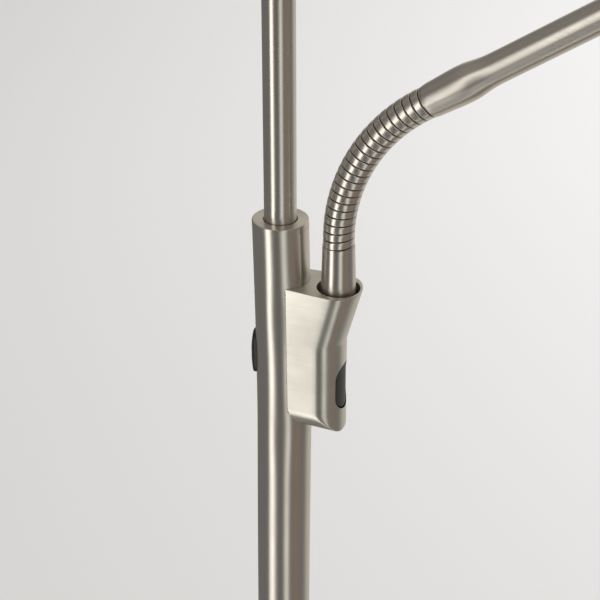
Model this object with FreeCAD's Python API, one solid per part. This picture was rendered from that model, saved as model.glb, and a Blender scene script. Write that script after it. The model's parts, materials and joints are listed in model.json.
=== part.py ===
import FreeCAD, Part
import math
import os
from FreeCAD import Placement, Rotation, Vector

# Torchiere floor lamp with a reading light on a gooseneck arm.
# Millimetres, +Z up, origin on the floor under the pole's axis. +X is the way the switch
# housing's nose and the reading arm point.

# ---- clearances --------------------------------------------------------------------------
GAP = 0.3             # between pieces that face each other without touching
FIT = 0.05            # radial clearance of a fitted or running shaft in its bore
WELD_GAP = 0.15       # the housing is cut this much wider than the pole it is welded to
PAST = 1.0            # a cut runs this far past the face that it opens

# ---- base --------------------------------------------------------------------------------
BASE_R = 140.0
BASE_H = 24.0
BASE_EDGE_R = 5.0
COVER_WALL = 1.2
COVER_LIFT = 1.5      # the cover's lower edge stays this far off the floor
FELT_T = 2.5
FELT_INSET = 4.0
PLATE_T = 1.5
PLATE_SCREW_COUNT = 6
PLATE_SCREW_CIRCLE = 122.0
PLATE_SCREW_R = 2.0
PLATE_SCREW_HEAD_R = 3.6
PLATE_SCREW_L = 10.0
ROD_R = 5.0
ROD_BORE = 3.5
ROD_HOLE_R = 5.4
ROD_ABOVE = 30.0      # length of the tie rod above the base cover
NUT_POCKET_R = 17.0
NUT_POCKET_DEPTH = 11.0
ROD_WASHER_R = 14.0
ROD_WASHER_T = 2.0
ROD_NUT_FLATS = 17.0
ROD_NUT_T = 6.0
ROD_TAIL = 1.0        # the rod's end shows this far below its nut
CHANNEL_W = 16.0
CHANNEL_DEPTH = 15.4
GROMMET_Z = 12.0
GROMMET_NECK_R = 5.5
GROMMET_FLANGE_R = 6.9
GROMMET_FLANGE_T = 1.6
GROMMET_BORE_R = 3.75

# ---- poles -------------------------------------------------------------------------------
COLLAR_TOP = 1180.0   # top of the thick pole
POLE_R = 14.0
POLE_WALL = 1.5
POLE_JOINT_Z = 600.0
FOOT_BUSH_H = 26.0
COUPLER_L = 80.0
COUPLER_WALL = 2.5
PLUG_FLANGE_T = 3.0
PLUG_CHAMFER = 0.5
PLUG_SPIGOT_L = 27.0
PLUG_MOUTH_GAP = 0.5  # the plug's mouth stands this far off the thin pole
PLUG_MOUTH_DEPTH = 2.0
THIN_POLE_R = 8.0
THIN_POLE_WALL = 1.2
THIN_POLE_TAIL = 8.0  # the thin pole's threaded end below the plug
THIN_NUT_R = 11.0
THIN_NUT_T = 6.0
LEAD_R = 2.7

# ---- switch housing, measured down from COLLAR_TOP ---------------------------------------
HOUSING_HALF_W = 12.1
HOUSING_TOP = 32.4
HOUSING_KINK = 62.0
HOUSING_BOTTOM = 112.95
HOUSING_WALL = 1.5
HOUSING_TOP_FILLET = 0.5
NOSE_X_TOP = 30.3     # nose centre from the pole's axis, at the top face
NOSE_X_LOW = 22.1     # and below the kink
SOCKET_R = 10.75
SOCKET_WALL = 1.3     # least wall left between the socket and the sloping nose
SOCKET_DEPTH = 9.8
SOCKET_WEB = 2.0
SOCKET_HOLE_R = 5.6
WIRE_HOLE_R = 4.0
WIRE_HOLE_DOWN = 58.0
PLUG_HOLE_HALF_W = 5.0
PLUG_HOLE_HALF_L = 5.5
PLUG_HOLE_X = 22.0
PLUG_LIP = 1.4
PLUG_LIP_T = 1.2
PLUG_PROUD = 0.3

# ---- buttons -----------------------------------------------------------------------------
BUTTON_HALF_W = 7.5
BUTTON_HALF_H = 12.3
BUTTON_GAP = 0.35
BUTTON_TRAVEL = 0.8
BUTTON_FLANGE = 1.0
FRONT_BUTTON_DOWN = 87.4
FRONT_BUTTON_SUNK = 0.4
REAR_BUTTON_DOWN = 76.0
REAR_BUTTON_PROUD = 1.7
BUTTON_BACK = 1.2     # thickness of the flange behind the opening's widest point
STEM_R = 1.5
STEM_GAP = 0.3
SWITCH_SIDE = 6.0
SWITCH_T = 4.0
SWITCH_BORE_DEPTH = 2.6
BOARD_T = 1.6
BOARD_HALF_W = 7.0
BOARD_BELOW = 14.0    # the board reaches this far under its switch
BOARD_ABOVE = 22.0    # and this far over it
CARRIER_END = 2.0     # the carrier reaches this far past its board
CARRIER_HALF_W = 9.0

# ---- swivel under the gooseneck ----------------------------------------------------------
BUSH_T = 4.0
STUD_R = 4.0
CABLE_BORE_R = 2.3
SWIVEL_WASHER_R = 5.3
SWIVEL_WASHER_T = 0.8
SWIVEL_NUT_R = 5.4
SWIVEL_NUT_T = 3.2
KEY_CIRCLE = 6.4
KEY_R = 0.8
KEY_L = 1.5
KEY_GROOVE_EXTRA = 0.5
SWIVEL_LIMIT = 120.0
KEY_SLACK = 3.0       # degrees of groove left at each end of the swivel

# ---- gooseneck ---------------------------------------------------------------------------
FERRULE_FOOT_R = 8.75
FERRULE_RIM_R = 8.0
FERRULE_RIM_DOWN = 9.0
FERRULE_EDGE = 1.0
NECK_R = 7.7
JOINTS = 10
TURN = 4.42           # pitch of the winding
TURNS_PER_LINK = 2
LINK = TURN * TURNS_PER_LINK
LEAD_IN = 3.5         # straight winding above the ferrule
TOTAL_BEND = 56.6     # degrees from upright at rest
BEND_GROOVE = 1.6     # groove at a joint, when straight
GROOVE = 0.7          # groove between the turns of one link
GROOVE_DEPTH = 0.8
TURN_CHAMFER = 0.35
BALL_R = 5.2
BALL_CAP = 3.2
BALL_GAP = 0.25

# ---- arm ---------------------------------------------------------------------------------
ARM_L = 270.0         # from the end of the bend to the arm's open end
WIND_PAST = 3.5       # the winding runs on this far past the end of the bend
ARM_R = 7.35
ARM_WALL = 1.2
BELL_RIM_R = 7.95
BELL_R = 8.9
BELL_START = 17.5
BELL_SHOULDER = 20.0
BELL_END = 35.5
BELL_BULGE = 0.1      # the flare's bulge off a straight cone, halfway up
END_SPIGOT_L = 14.0

# ---- reading head ------------------------------------------------------------------------
FORK_SPIGOT_L = 14.0
FORK_COLLAR = 4.0
HEAD_PIVOT = 15.0     # hinge from the arm's end
EAR_T = 2.8
LUG_HALF_T = 3.0
EAR_R = 5.5
HINGE_PIN_R = 1.95
HINGE_HEAD_R = 3.4
HINGE_HEAD_T = 1.8
HEAD_R = 32.0
HEAD_T = 20.0
HEAD_WALL = 1.6
HEAD_EDGE_R = 4.0
HEAD_OFFSET = 6.5     # hinge to the head's edge
LENS_T = 2.5
LENS_SUNK = 1.2
LENS_RING_W = 2.6
REFLECTOR_WALL = 1.2
HEAD_BOARD_R = 22.0
REFLECTOR_FOOT_R = 11.0
HEAD_CHIP_RINGS = ((0.0, 1), (7.5, 6))   # circle radius, count
CHIP = (3.0, 3.0, 0.7)

# ---- uplighter ---------------------------------------------------------------------------
LAMP_TOP = 1800.0
DISH_R = 150.0
DISH_DEPTH = 58.0
DISH_LIP = 6.0
DISH_WALL = 1.2
DISH_FLAT_R = 30.0
HUB_R = 12.5
HUB_FLANGE_R = 24.0
HUB_H = 26.0
HUB_CHAMFER = 1.0
HUB_FLANGE_T = 4.0
HUB_NUT_FLATS = 27.0
HUB_NUT_T = 8.0
THIN_POLE_HEAD = 14.0  # the thin pole's end above the dish's floor
DECK_EDGE_GAP = 9.6   # level, from the heat plate's edge to the dish's inside
DECK_T = 2.0
DECK_Z = 32.0         # heat plate above the dish's foot
POST_CIRCLE = 62.0
POST_COUNT = 3
POST_R = 4.0
POST_FIRST = 60.0     # degrees
DECK_SCREW_R = 2.0
DECK_SCREW_HEAD_R = 3.8
DECK_SCREW_HEAD_T = 2.2
DECK_SCREW_L = 10.0
LED_BOARD_INSET = 9.0  # from the heat plate's edge
LED_BOARD_HOLE_R = 22.0
LED_RINGS = ((48.0, 12), (80.0, 24))     # circle radius, count
DRIVER_X = (20.0, 58.0)
DRIVER_HALF_W = 46.0
DRIVER_T = 16.0
DIFFUSER_INSET = 2.3
DIFFUSER_T = 3.0
DIFFUSER_UP = 0.4     # the diffuser above the lip's foot
RING_W = 4.5

# ---- places worked out from the sizes above ----------------------------------------------
PLATE_Z = FELT_T
WEIGHT_Z = PLATE_Z + PLATE_T
COVER_IN_Z = BASE_H - COVER_WALL
WEIGHT_TOP = COVER_IN_Z - GAP
POLE_IN = POLE_R - POLE_WALL
THIN_IN = THIN_POLE_R - THIN_POLE_WALL
HOUSING_Z1 = COLLAR_TOP - HOUSING_TOP
HOUSING_ZK = COLLAR_TOP - HOUSING_KINK
HOUSING_Z0 = COLLAR_TOP - HOUSING_BOTTOM
HOUSING_ROUND_Z = HOUSING_Z0 + HOUSING_HALF_W   # level axis of the half-round bottom
SOCKET_Z = HOUSING_Z1 - SOCKET_DEPTH
CAVITY_Z = SOCKET_Z - SOCKET_WEB
BUSH_Z = SOCKET_Z + BUSH_T
FERRULE_Z = BUSH_Z + GAP
FERRULE_RIM_Z = COLLAR_TOP - FERRULE_RIM_DOWN
FIRST_JOINT_Z = FERRULE_RIM_Z + LEAD_IN + TURN
BEND = TOTAL_BEND / JOINTS
FRONT_BUTTON_Z = COLLAR_TOP - FRONT_BUTTON_DOWN
REAR_BUTTON_Z = COLLAR_TOP - REAR_BUTTON_DOWN
ARM_BORE = ARM_R - ARM_WALL
DISH_Z = LAMP_TOP - DISH_LIP - DISH_DEPTH
LIP_Z = DISH_Z + DISH_DEPTH
DISH_CENTRE = (DISH_R ** 2 + DISH_DEPTH ** 2 - DISH_FLAT_R ** 2) / (2 * DISH_DEPTH)
DISH_SPHERE_R = math.hypot(DISH_FLAT_R, DISH_CENTRE)

NODES = {}


def box(x, y, z):
    """Box from three (low, high) pairs."""
    return Part.makeBox(x[1] - x[0], y[1] - y[0], z[1] - z[0], Vector(x[0], y[0], z[0]))


def rod(radius, z0, z1, x=0.0, y=0.0):
    return Part.makeCylinder(radius, z1 - z0, Vector(x, y, z0))


def tube(outer, inner, z0, z1, x=0.0, y=0.0):
    return rod(outer, z0, z1, x, y).cut(rod(inner, z0, z1, x, y))


def rod_x(radius, x0, x1, z, y=0.0):
    return Part.makeCylinder(radius, x1 - x0, Vector(x0, y, z), Vector(1, 0, 0))


def rod_y(radius, y0, y1, x, z):
    return Part.makeCylinder(radius, y1 - y0, Vector(x, y0, z), Vector(0, 1, 0))


def hexagon(flats, z0, z1):
    """Hexagonal prism on the Z axis, given across its flats."""
    corner = flats / math.sqrt(3.0)
    turns = [math.radians(60 * i) for i in range(7)]
    wire = Part.makePolygon([Vector(corner * math.cos(a), corner * math.sin(a), z0) for a in turns])
    return Part.Face(wire).extrude(Vector(0, 0, z1 - z0))


def turned(*points):
    """Solid of revolution about Z. A point is (radius, z); a pair of them is an arc's middle and end."""
    edges = []
    last = Vector(points[0][0], 0, points[0][1])
    for point in points[1:] + (points[0],):
        if isinstance(point[0], tuple):
            middle = Vector(point[0][0], 0, point[0][1])
            end = Vector(point[1][0], 0, point[1][1])
            edges.append(Part.Arc(last, middle, end).toShape())
        else:
            end = Vector(point[0], 0, point[1])
            edges.append(Part.makeLine(last, end))
        last = end
    face = Part.Face(Part.Wire(edges))
    return face.revolve(Vector(0, 0, 0), Vector(0, 0, 1), 360)


def corner_arc(centre_r, centre_z, radius, towards):
    """Middle point of a quarter-round corner, towards (+-1, +-1) from its centre."""
    step = radius * math.sqrt(0.5)
    return centre_r + towards[0] * step, centre_z + towards[1] * step


def ease(r0, z0, r1, z1):
    """Two arcs that carry a turned outline smoothly from one radius to another."""
    half_z, half_r = (z1 - z0) / 2, (r1 - r0) / 2
    radius = (half_z ** 2 + half_r ** 2) / (2 * abs(half_r))
    sag = math.copysign(radius - math.sqrt(radius ** 2 - (half_z / 2) ** 2), half_r)
    middle = (r0 + half_r, z0 + half_z)
    return ((r0 + sag, z0 + half_z / 2), middle), ((r1 - sag, z1 - half_z / 2), (r1, z1))


def pill(half_w, half_h, x0, x1, z):
    """Upright pill-shaped prism along X."""
    run = half_h - half_w
    body = box((x0, x1), (-half_w, half_w), (z - run, z + run))
    return body.fuse([rod_x(half_w, x0, x1, z + run), rod_x(half_w, x0, x1, z - run)]).removeSplitter()


def around(shape, count, first=0.0, centre=(0.0, 0.0)):
    """The shape, repeated evenly about an upright axis."""
    copies = []
    for i in range(count):
        copy = shape.copy()
        copy.rotate(Vector(centre[0], centre[1], 0), Vector(0, 0, 1), first + 360.0 * i / count)
        copies.append(copy)
    return Part.makeCompound(copies)


def slab_wire(half_w, nose_x, z, back_x=0.0):
    """Flat-sided outline with a half-round nose of radius half_w at nose_x."""
    return Part.Wire([
        Part.makeLine(Vector(back_x, -half_w, z), Vector(nose_x, -half_w, z)),
        Part.Arc(Vector(nose_x, -half_w, z), Vector(nose_x + half_w, 0, z),
                 Vector(nose_x, half_w, z)).toShape(),
        Part.makeLine(Vector(nose_x, half_w, z), Vector(back_x, half_w, z)),
        Part.makeLine(Vector(back_x, half_w, z), Vector(back_x, -half_w, z)),
    ])


def nose_x_at(z):
    """Nose centre of the housing at a height between its kink and its top."""
    share = (z - HOUSING_ZK) / (HOUSING_Z1 - HOUSING_ZK)
    return NOSE_X_LOW + share * (NOSE_X_TOP - NOSE_X_LOW)


def slab(half_w, z0, z1):
    """Flat-sided nosed solid that follows the housing from z0, under the kink, up to z1."""
    low = slab_wire(half_w, NOSE_X_LOW, z0)
    kink = slab_wire(half_w, NOSE_X_LOW, HOUSING_ZK)
    high = slab_wire(half_w, nose_x_at(z1), z1)
    lower = Part.makeLoft([low, kink], True, True)
    upper = Part.makeLoft([kink, high], True, True)
    return lower.fuse(upper).removeSplitter()


def round_under(shape, radius):
    """Round a housing piece underneath, to a radius about the level axis of the housing's bottom."""
    x1 = NOSE_X_TOP + HOUSING_HALF_W
    corners = box((-PAST, x1), (-HOUSING_HALF_W - PAST, HOUSING_HALF_W + PAST),
                  (HOUSING_Z0 - PAST, HOUSING_ROUND_Z))
    return shape.cut(corners.cut(rod_x(radius, -PAST, x1, HOUSING_ROUND_Z)))


def on_neck(joint, shape):
    """Carry a shape, modelled upright with its lower hinge at the origin, to its place on the bent neck."""
    x, z = NOSE_X_TOP, FIRST_JOINT_Z
    for k in range(1, joint):
        x += LINK * math.sin(math.radians(k * BEND))
        z += LINK * math.cos(math.radians(k * BEND))
    placed = shape.copy()
    seat = Placement(Vector(x, 0, z), Rotation(Vector(0, 1, 0), joint * BEND))
    placed.Placement = seat.multiply(shape.Placement)
    return placed


def base():
    wall_in = BASE_R - COVER_WALL
    edge_in = BASE_EDGE_R - COVER_WALL
    cover = turned(
        (ROD_HOLE_R, BASE_H), (BASE_R - BASE_EDGE_R, BASE_H),
        (corner_arc(BASE_R - BASE_EDGE_R, BASE_H - BASE_EDGE_R, BASE_EDGE_R, (1, 1)),
         (BASE_R, BASE_H - BASE_EDGE_R)),
        (BASE_R, COVER_LIFT), (wall_in, COVER_LIFT), (wall_in, COVER_IN_Z - edge_in),
        (corner_arc(wall_in - edge_in, COVER_IN_Z - edge_in, edge_in, (1, 1)),
         (wall_in - edge_in, COVER_IN_Z)),
        (ROD_HOLE_R, COVER_IN_Z))
    NODES["base_cover"] = cover.cut(rod_x(GROMMET_NECK_R + FIT, -BASE_R - PAST, 0, GROMMET_Z))

    weight_r = wall_in - GAP
    weight = turned((ROD_HOLE_R, WEIGHT_Z), (weight_r, WEIGHT_Z), (weight_r, WEIGHT_TOP - edge_in),
                    (weight_r - edge_in, WEIGHT_TOP), (ROD_HOLE_R, WEIGHT_TOP))
    weight = weight.cut(rod(NUT_POCKET_R, WEIGHT_Z, WEIGHT_Z + NUT_POCKET_DEPTH))
    weight = weight.cut(box((-BASE_R, 0), (-CHANNEL_W / 2, CHANNEL_W / 2),
                            (WEIGHT_Z, WEIGHT_Z + CHANNEL_DEPTH)))
    screw_hole = rod(PLATE_SCREW_R + FIT, PLATE_Z, PLATE_Z + PLATE_SCREW_L + GAP, PLATE_SCREW_CIRCLE)
    first = 180.0 / PLATE_SCREW_COUNT
    NODES["base_weight"] = weight.cut(around(screw_hole, PLATE_SCREW_COUNT, first))

    plate = rod(wall_in - GAP, PLATE_Z, WEIGHT_Z)
    cone_hole = Part.makeCone(PLATE_SCREW_HEAD_R + FIT, PLATE_SCREW_R + FIT, PLATE_T,
                              Vector(PLATE_SCREW_CIRCLE, 0, PLATE_Z))
    NODES["base_plate"] = plate.cut(around(cone_hole, PLATE_SCREW_COUNT, first))
    screw = Part.makeCone(PLATE_SCREW_HEAD_R, PLATE_SCREW_R, PLATE_T, Vector(PLATE_SCREW_CIRCLE, 0, PLATE_Z))
    screw = screw.fuse(rod(PLATE_SCREW_R, WEIGHT_Z, PLATE_Z + PLATE_SCREW_L, PLATE_SCREW_CIRCLE))
    NODES["base_plate_screws"] = around(screw, PLATE_SCREW_COUNT, first)
    NODES["base_felt"] = rod(BASE_R - FELT_INSET, 0, FELT_T)

    washer_top = WEIGHT_Z + NUT_POCKET_DEPTH
    nut_top = washer_top - ROD_WASHER_T
    rod_low = nut_top - ROD_NUT_T - ROD_TAIL
    NODES["tie_rod"] = tube(ROD_R, ROD_BORE, rod_low, BASE_H + ROD_ABOVE)
    NODES["tie_rod_washer"] = tube(ROD_WASHER_R, ROD_R + FIT, nut_top, washer_top)
    nut_bore = rod(ROD_R + FIT, nut_top - ROD_NUT_T, nut_top)
    NODES["tie_rod_nut"] = hexagon(ROD_NUT_FLATS, nut_top - ROD_NUT_T, nut_top).cut(nut_bore)

    outside = BASE_R + FIT + GROMMET_FLANGE_T
    inside = wall_in - FIT - GROMMET_FLANGE_T
    wall = tube(BASE_R + FIT, wall_in - FIT, 0, BASE_H)
    wall = wall.cut(rod_x(GROMMET_NECK_R, -BASE_R - PAST, 0, GROMMET_Z))
    grommet = rod_x(GROMMET_FLANGE_R, -outside, -inside, GROMMET_Z).cut(wall)
    NODES["cord_grommet"] = grommet.cut(rod_x(GROMMET_BORE_R, -outside, -inside, GROMMET_Z))


def poles():
    foot_top = BASE_H + FOOT_BUSH_H
    NODES["pole_foot_bush"] = tube(POLE_IN - FIT, ROD_R + FIT, BASE_H, foot_top)
    NODES["pole_lower_section"] = tube(POLE_R, POLE_IN, BASE_H, POLE_JOINT_Z)
    half = COUPLER_L / 2
    coupler_r = POLE_IN - FIT
    NODES["pole_coupler"] = tube(coupler_r, coupler_r - COUPLER_WALL, POLE_JOINT_Z - half, POLE_JOINT_Z + half)

    section = tube(POLE_R, POLE_IN, POLE_JOINT_Z, COLLAR_TOP - PLUG_FLANGE_T)
    opening = pill(BUTTON_HALF_W + BUTTON_GAP, BUTTON_HALF_H + BUTTON_GAP, -POLE_R - PAST, 0, REAR_BUTTON_Z)
    wire_hole = rod_x(WIRE_HOLE_R, 0, POLE_R + PAST, COLLAR_TOP - WIRE_HOLE_DOWN)
    NODES["pole_upper_section"] = section.cut(opening).cut(wire_hole)

    plug_low = COLLAR_TOP - PLUG_FLANGE_T - PLUG_SPIGOT_L
    mouth_r = THIN_POLE_R + PLUG_MOUTH_GAP
    NODES["pole_top_plug"] = turned(
        (THIN_POLE_R + FIT, plug_low), (POLE_IN - FIT, plug_low), (POLE_IN - FIT, COLLAR_TOP - PLUG_FLANGE_T),
        (POLE_R, COLLAR_TOP - PLUG_FLANGE_T), (POLE_R, COLLAR_TOP - PLUG_CHAMFER),
        (POLE_R - PLUG_CHAMFER, COLLAR_TOP), (mouth_r, COLLAR_TOP), (mouth_r, COLLAR_TOP - PLUG_MOUTH_DEPTH),
        (THIN_POLE_R + FIT, COLLAR_TOP - PLUG_MOUTH_DEPTH))
    thin_low = plug_low - THIN_POLE_TAIL
    NODES["upper_pole"] = tube(THIN_POLE_R, THIN_IN, thin_low, DISH_Z + DISH_WALL + THIN_POLE_HEAD)
    NODES["upper_pole_nut"] = tube(THIN_NUT_R, THIN_POLE_R + FIT, plug_low - THIN_NUT_T, plug_low)

    carrier_low, carrier_high = carrier_span(REAR_BUTTON_Z)
    washer_top = WEIGHT_Z + NUT_POCKET_DEPTH
    lead_low = washer_top - ROD_WASHER_T - ROD_NUT_T - ROD_TAIL
    NODES["pole_lead"] = rod(LEAD_R, lead_low, carrier_low)
    NODES["upper_pole_lead"] = rod(LEAD_R, carrier_high, DISH_Z + DISH_WALL + THIN_POLE_HEAD)


def housing():
    body = round_under(slab(HOUSING_HALF_W, HOUSING_Z0, HOUSING_Z1), HOUSING_HALF_W)
    top_edges = [e for e in body.Edges if e.BoundBox.ZMin > HOUSING_Z1 - GAP and e.BoundBox.XMax > GAP]
    body = body.makeFillet(HOUSING_TOP_FILLET, top_edges)
    body = body.cut(rod(POLE_R + WELD_GAP, HOUSING_Z0 - PAST, HOUSING_Z1 + PAST))
    inner_r = HOUSING_HALF_W - HOUSING_WALL
    body = body.cut(round_under(slab(inner_r, HOUSING_ROUND_Z - inner_r, CAVITY_Z), inner_r))
    body = body.cut(rod(SOCKET_R, SOCKET_Z, HOUSING_Z1 + PAST, NOSE_X_TOP).common(
        slab(HOUSING_HALF_W - SOCKET_WALL, HOUSING_Z0, HOUSING_Z1 + PAST)))
    body = body.cut(rod(SOCKET_HOLE_R, CAVITY_Z - PAST, SOCKET_Z, NOSE_X_TOP))
    body = body.cut(pill(BUTTON_HALF_W + BUTTON_GAP, BUTTON_HALF_H + BUTTON_GAP,
                         NOSE_X_LOW, NOSE_X_LOW + HOUSING_HALF_W + PAST, FRONT_BUTTON_Z))
    hole = box((PLUG_HOLE_X - PLUG_HOLE_HALF_L, PLUG_HOLE_X + PLUG_HOLE_HALF_L),
               (-PLUG_HOLE_HALF_W, PLUG_HOLE_HALF_W), (HOUSING_Z0 - PAST, HOUSING_ROUND_Z))
    NODES["switch_housing"] = body.cut(hole)

    def bent(half_l, half_w, radius):
        """Piece of the bottom's wall over the plug's place, out to a radius."""
        x = (PLUG_HOLE_X - half_l, PLUG_HOLE_X + half_l)
        piece = box(x, (-half_w, half_w), (HOUSING_Z0 - PAST, HOUSING_ROUND_Z))
        piece = piece.common(rod_x(radius, x[0], x[1], HOUSING_ROUND_Z))
        return piece.cut(rod_x(inner_r - PLUG_LIP_T, x[0], x[1], HOUSING_ROUND_Z))

    neck = bent(PLUG_HOLE_HALF_L - GAP, PLUG_HOLE_HALF_W - GAP, HOUSING_HALF_W + PLUG_PROUD)
    lip = bent(PLUG_HOLE_HALF_L + PLUG_LIP, PLUG_HOLE_HALF_W + PLUG_LIP, inner_r - FIT)
    NODES["housing_plug"] = neck.fuse(lip).removeSplitter()


def button(prefix, z, outer_r, wall_in_r, side, centre_x):
    """A pill-shaped push button wrapped on a round wall, with its switch, board and carrier behind it.

    side is +1 where the button faces +X and -1 where it faces -X. The wall is centred on centre_x.
    """
    def span(near, far):
        """Two distances out from the wall's centre, as a low and high X."""
        return tuple(sorted((centre_x + side * near, centre_x + side * far)))

    flange_r = wall_in_r - GAP
    flange_half_w = BUTTON_HALF_W + BUTTON_FLANGE
    back = math.sqrt(flange_r ** 2 - flange_half_w ** 2) - BUTTON_BACK
    reach = BUTTON_HALF_H + BUTTON_FLANGE
    cap = pill(BUTTON_HALF_W, BUTTON_HALF_H, *span(back, outer_r + PAST), z)
    cap = cap.common(rod(outer_r, z - reach, z + reach, centre_x))
    flange = pill(flange_half_w, reach, *span(back, flange_r), z)
    flange = flange.common(rod(flange_r, z - reach, z + reach, centre_x))
    face = back - BUTTON_TRAVEL - GAP
    stem = rod_x(STEM_R, *span(face - SWITCH_BORE_DEPTH + BUTTON_TRAVEL + STEM_GAP, back), z)
    NODES[prefix + "_button"] = cap.fuse([flange, stem]).removeSplitter()

    board_face = face - SWITCH_T
    half = SWITCH_SIDE / 2
    case = box(span(board_face, face), (-half, half), (z - half, z + half))
    case = case.cut(rod_x(STEM_R + STEM_GAP, *span(face - SWITCH_BORE_DEPTH, face + PAST), z))
    board = box(span(board_face - BOARD_T, board_face), (-BOARD_HALF_W, BOARD_HALF_W),
                (z - BOARD_BELOW, z + BOARD_ABOVE))
    NODES[prefix + "_switch_board"] = Part.makeCompound([board, case])
    return centre_x + side * (board_face - BOARD_T)


def carrier_span(z):
    """Lowest and highest Z of the carrier behind a button at a height."""
    return z - BOARD_BELOW - CARRIER_END, z + BOARD_ABOVE + CARRIER_END


def buttons():
    nose_in = HOUSING_HALF_W - HOUSING_WALL
    back = button("front", FRONT_BUTTON_Z, HOUSING_HALF_W - FRONT_BUTTON_SUNK, nose_in, 1, NOSE_X_LOW)
    under_r = nose_in - PLUG_LIP_T - GAP
    low, high = HOUSING_ROUND_Z - under_r, carrier_span(FRONT_BUTTON_Z)[1]
    frame = box((POLE_R / 2, back), (-CARRIER_HALF_W, CARRIER_HALF_W), (low, high))
    NODES["front_switch_carrier"] = round_under(frame.cut(rod(POLE_R + GAP, low, high)), under_r)

    back = button("rear", REAR_BUTTON_Z, POLE_R + REAR_BUTTON_PROUD, POLE_IN, -1, 0.0)
    low, high = carrier_span(REAR_BUTTON_Z)
    core = rod(POLE_IN - GAP, low, high)
    keep = box((back, POLE_R), (-POLE_R, POLE_R), (low, high))
    wire_way = rod_x(WIRE_HOLE_R, back, POLE_R, COLLAR_TOP - WIRE_HOLE_DOWN)
    NODES["rear_switch_carrier"] = core.common(keep).cut(wire_way)


def swivel():
    reach = SWIVEL_LIMIT + KEY_SLACK + math.degrees(math.asin(KEY_R / KEY_CIRCLE))
    inner = KEY_CIRCLE - KEY_R - KEY_GROOVE_EXTRA
    outer = KEY_CIRCLE + KEY_R + KEY_GROOVE_EXTRA
    depth = KEY_L + KEY_GROOVE_EXTRA
    sector = Part.makeCylinder(outer, depth, Vector(0, 0, 0), Vector(0, 0, 1), 2 * reach)
    sector = sector.cut(rod(inner, 0, depth))
    sector.rotate(Vector(0, 0, 0), Vector(0, 0, 1), -reach)
    sector.translate(Vector(NOSE_X_TOP, 0, BUSH_Z - depth))
    bush = tube(SOCKET_R - FIT, STUD_R + FIT, SOCKET_Z, BUSH_Z, NOSE_X_TOP)
    bush = bush.common(slab(HOUSING_HALF_W - SOCKET_WALL - FIT, HOUSING_Z0, HOUSING_Z1))
    NODES["swivel_bush"] = bush.cut(sector)
    washer_top = CAVITY_Z - GAP
    nut_top = washer_top - SWIVEL_WASHER_T
    NODES["swivel_washer"] = tube(SWIVEL_WASHER_R, STUD_R + FIT, nut_top, washer_top, NOSE_X_TOP)
    nut_low = nut_top - SWIVEL_NUT_T
    NODES["swivel_nut"] = tube(SWIVEL_NUT_R, STUD_R + FIT, nut_low, nut_top, NOSE_X_TOP)

    foot = FERRULE_Z - FIRST_JOINT_Z
    rim = FERRULE_RIM_Z - FIRST_JOINT_Z
    stub = turned(
        (CABLE_BORE_R, nut_low - FIRST_JOINT_Z), (STUD_R, nut_low - FIRST_JOINT_Z), (STUD_R, foot),
        (FERRULE_FOOT_R - FERRULE_EDGE, foot),
        (corner_arc(FERRULE_FOOT_R - FERRULE_EDGE, foot + FERRULE_EDGE, FERRULE_EDGE, (1, -1)),
         (FERRULE_FOOT_R, foot + FERRULE_EDGE)),
        (FERRULE_RIM_R, rim - TURN_CHAMFER), (FERRULE_RIM_R - TURN_CHAMFER, rim), (NECK_R - GROOVE_DEPTH, rim),
        *turn_outline(rim + GROOVE, -TURN - GROOVE / 2), *turn_outline(-TURN + GROOVE / 2, -BEND_GROOVE / 2),
        (CABLE_BORE_R, -BEND_GROOVE / 2))
    ferrule = stub.fuse(ball()).cut(rod(CABLE_BORE_R, -BEND_GROOVE, BALL_R))
    ferrule.translate(Vector(NOSE_X_TOP, 0, FIRST_JOINT_Z))
    key = rod(KEY_R, FERRULE_Z - GAP - KEY_L, FERRULE_Z + KEY_R, NOSE_X_TOP + KEY_CIRCLE)
    NODES["gooseneck_ferrule"] = ferrule.fuse(key)


def turn_outline(z0, z1):
    """One turn of the winding as outline points: up from the groove, along, and back into the groove."""
    low_r = NECK_R - GROOVE_DEPTH
    return ((low_r, z0), (NECK_R - TURN_CHAMFER, z0), (NECK_R, z0 + TURN_CHAMFER),
            (NECK_R, z1 - TURN_CHAMFER), (NECK_R - TURN_CHAMFER, z1), (low_r, z1))


def ball():
    """The ball that stands on a link, about the hinge above it."""
    top = rod(BALL_R, -BEND_GROOVE, BALL_CAP)
    return Part.makeSphere(BALL_R).common(top)


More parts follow.
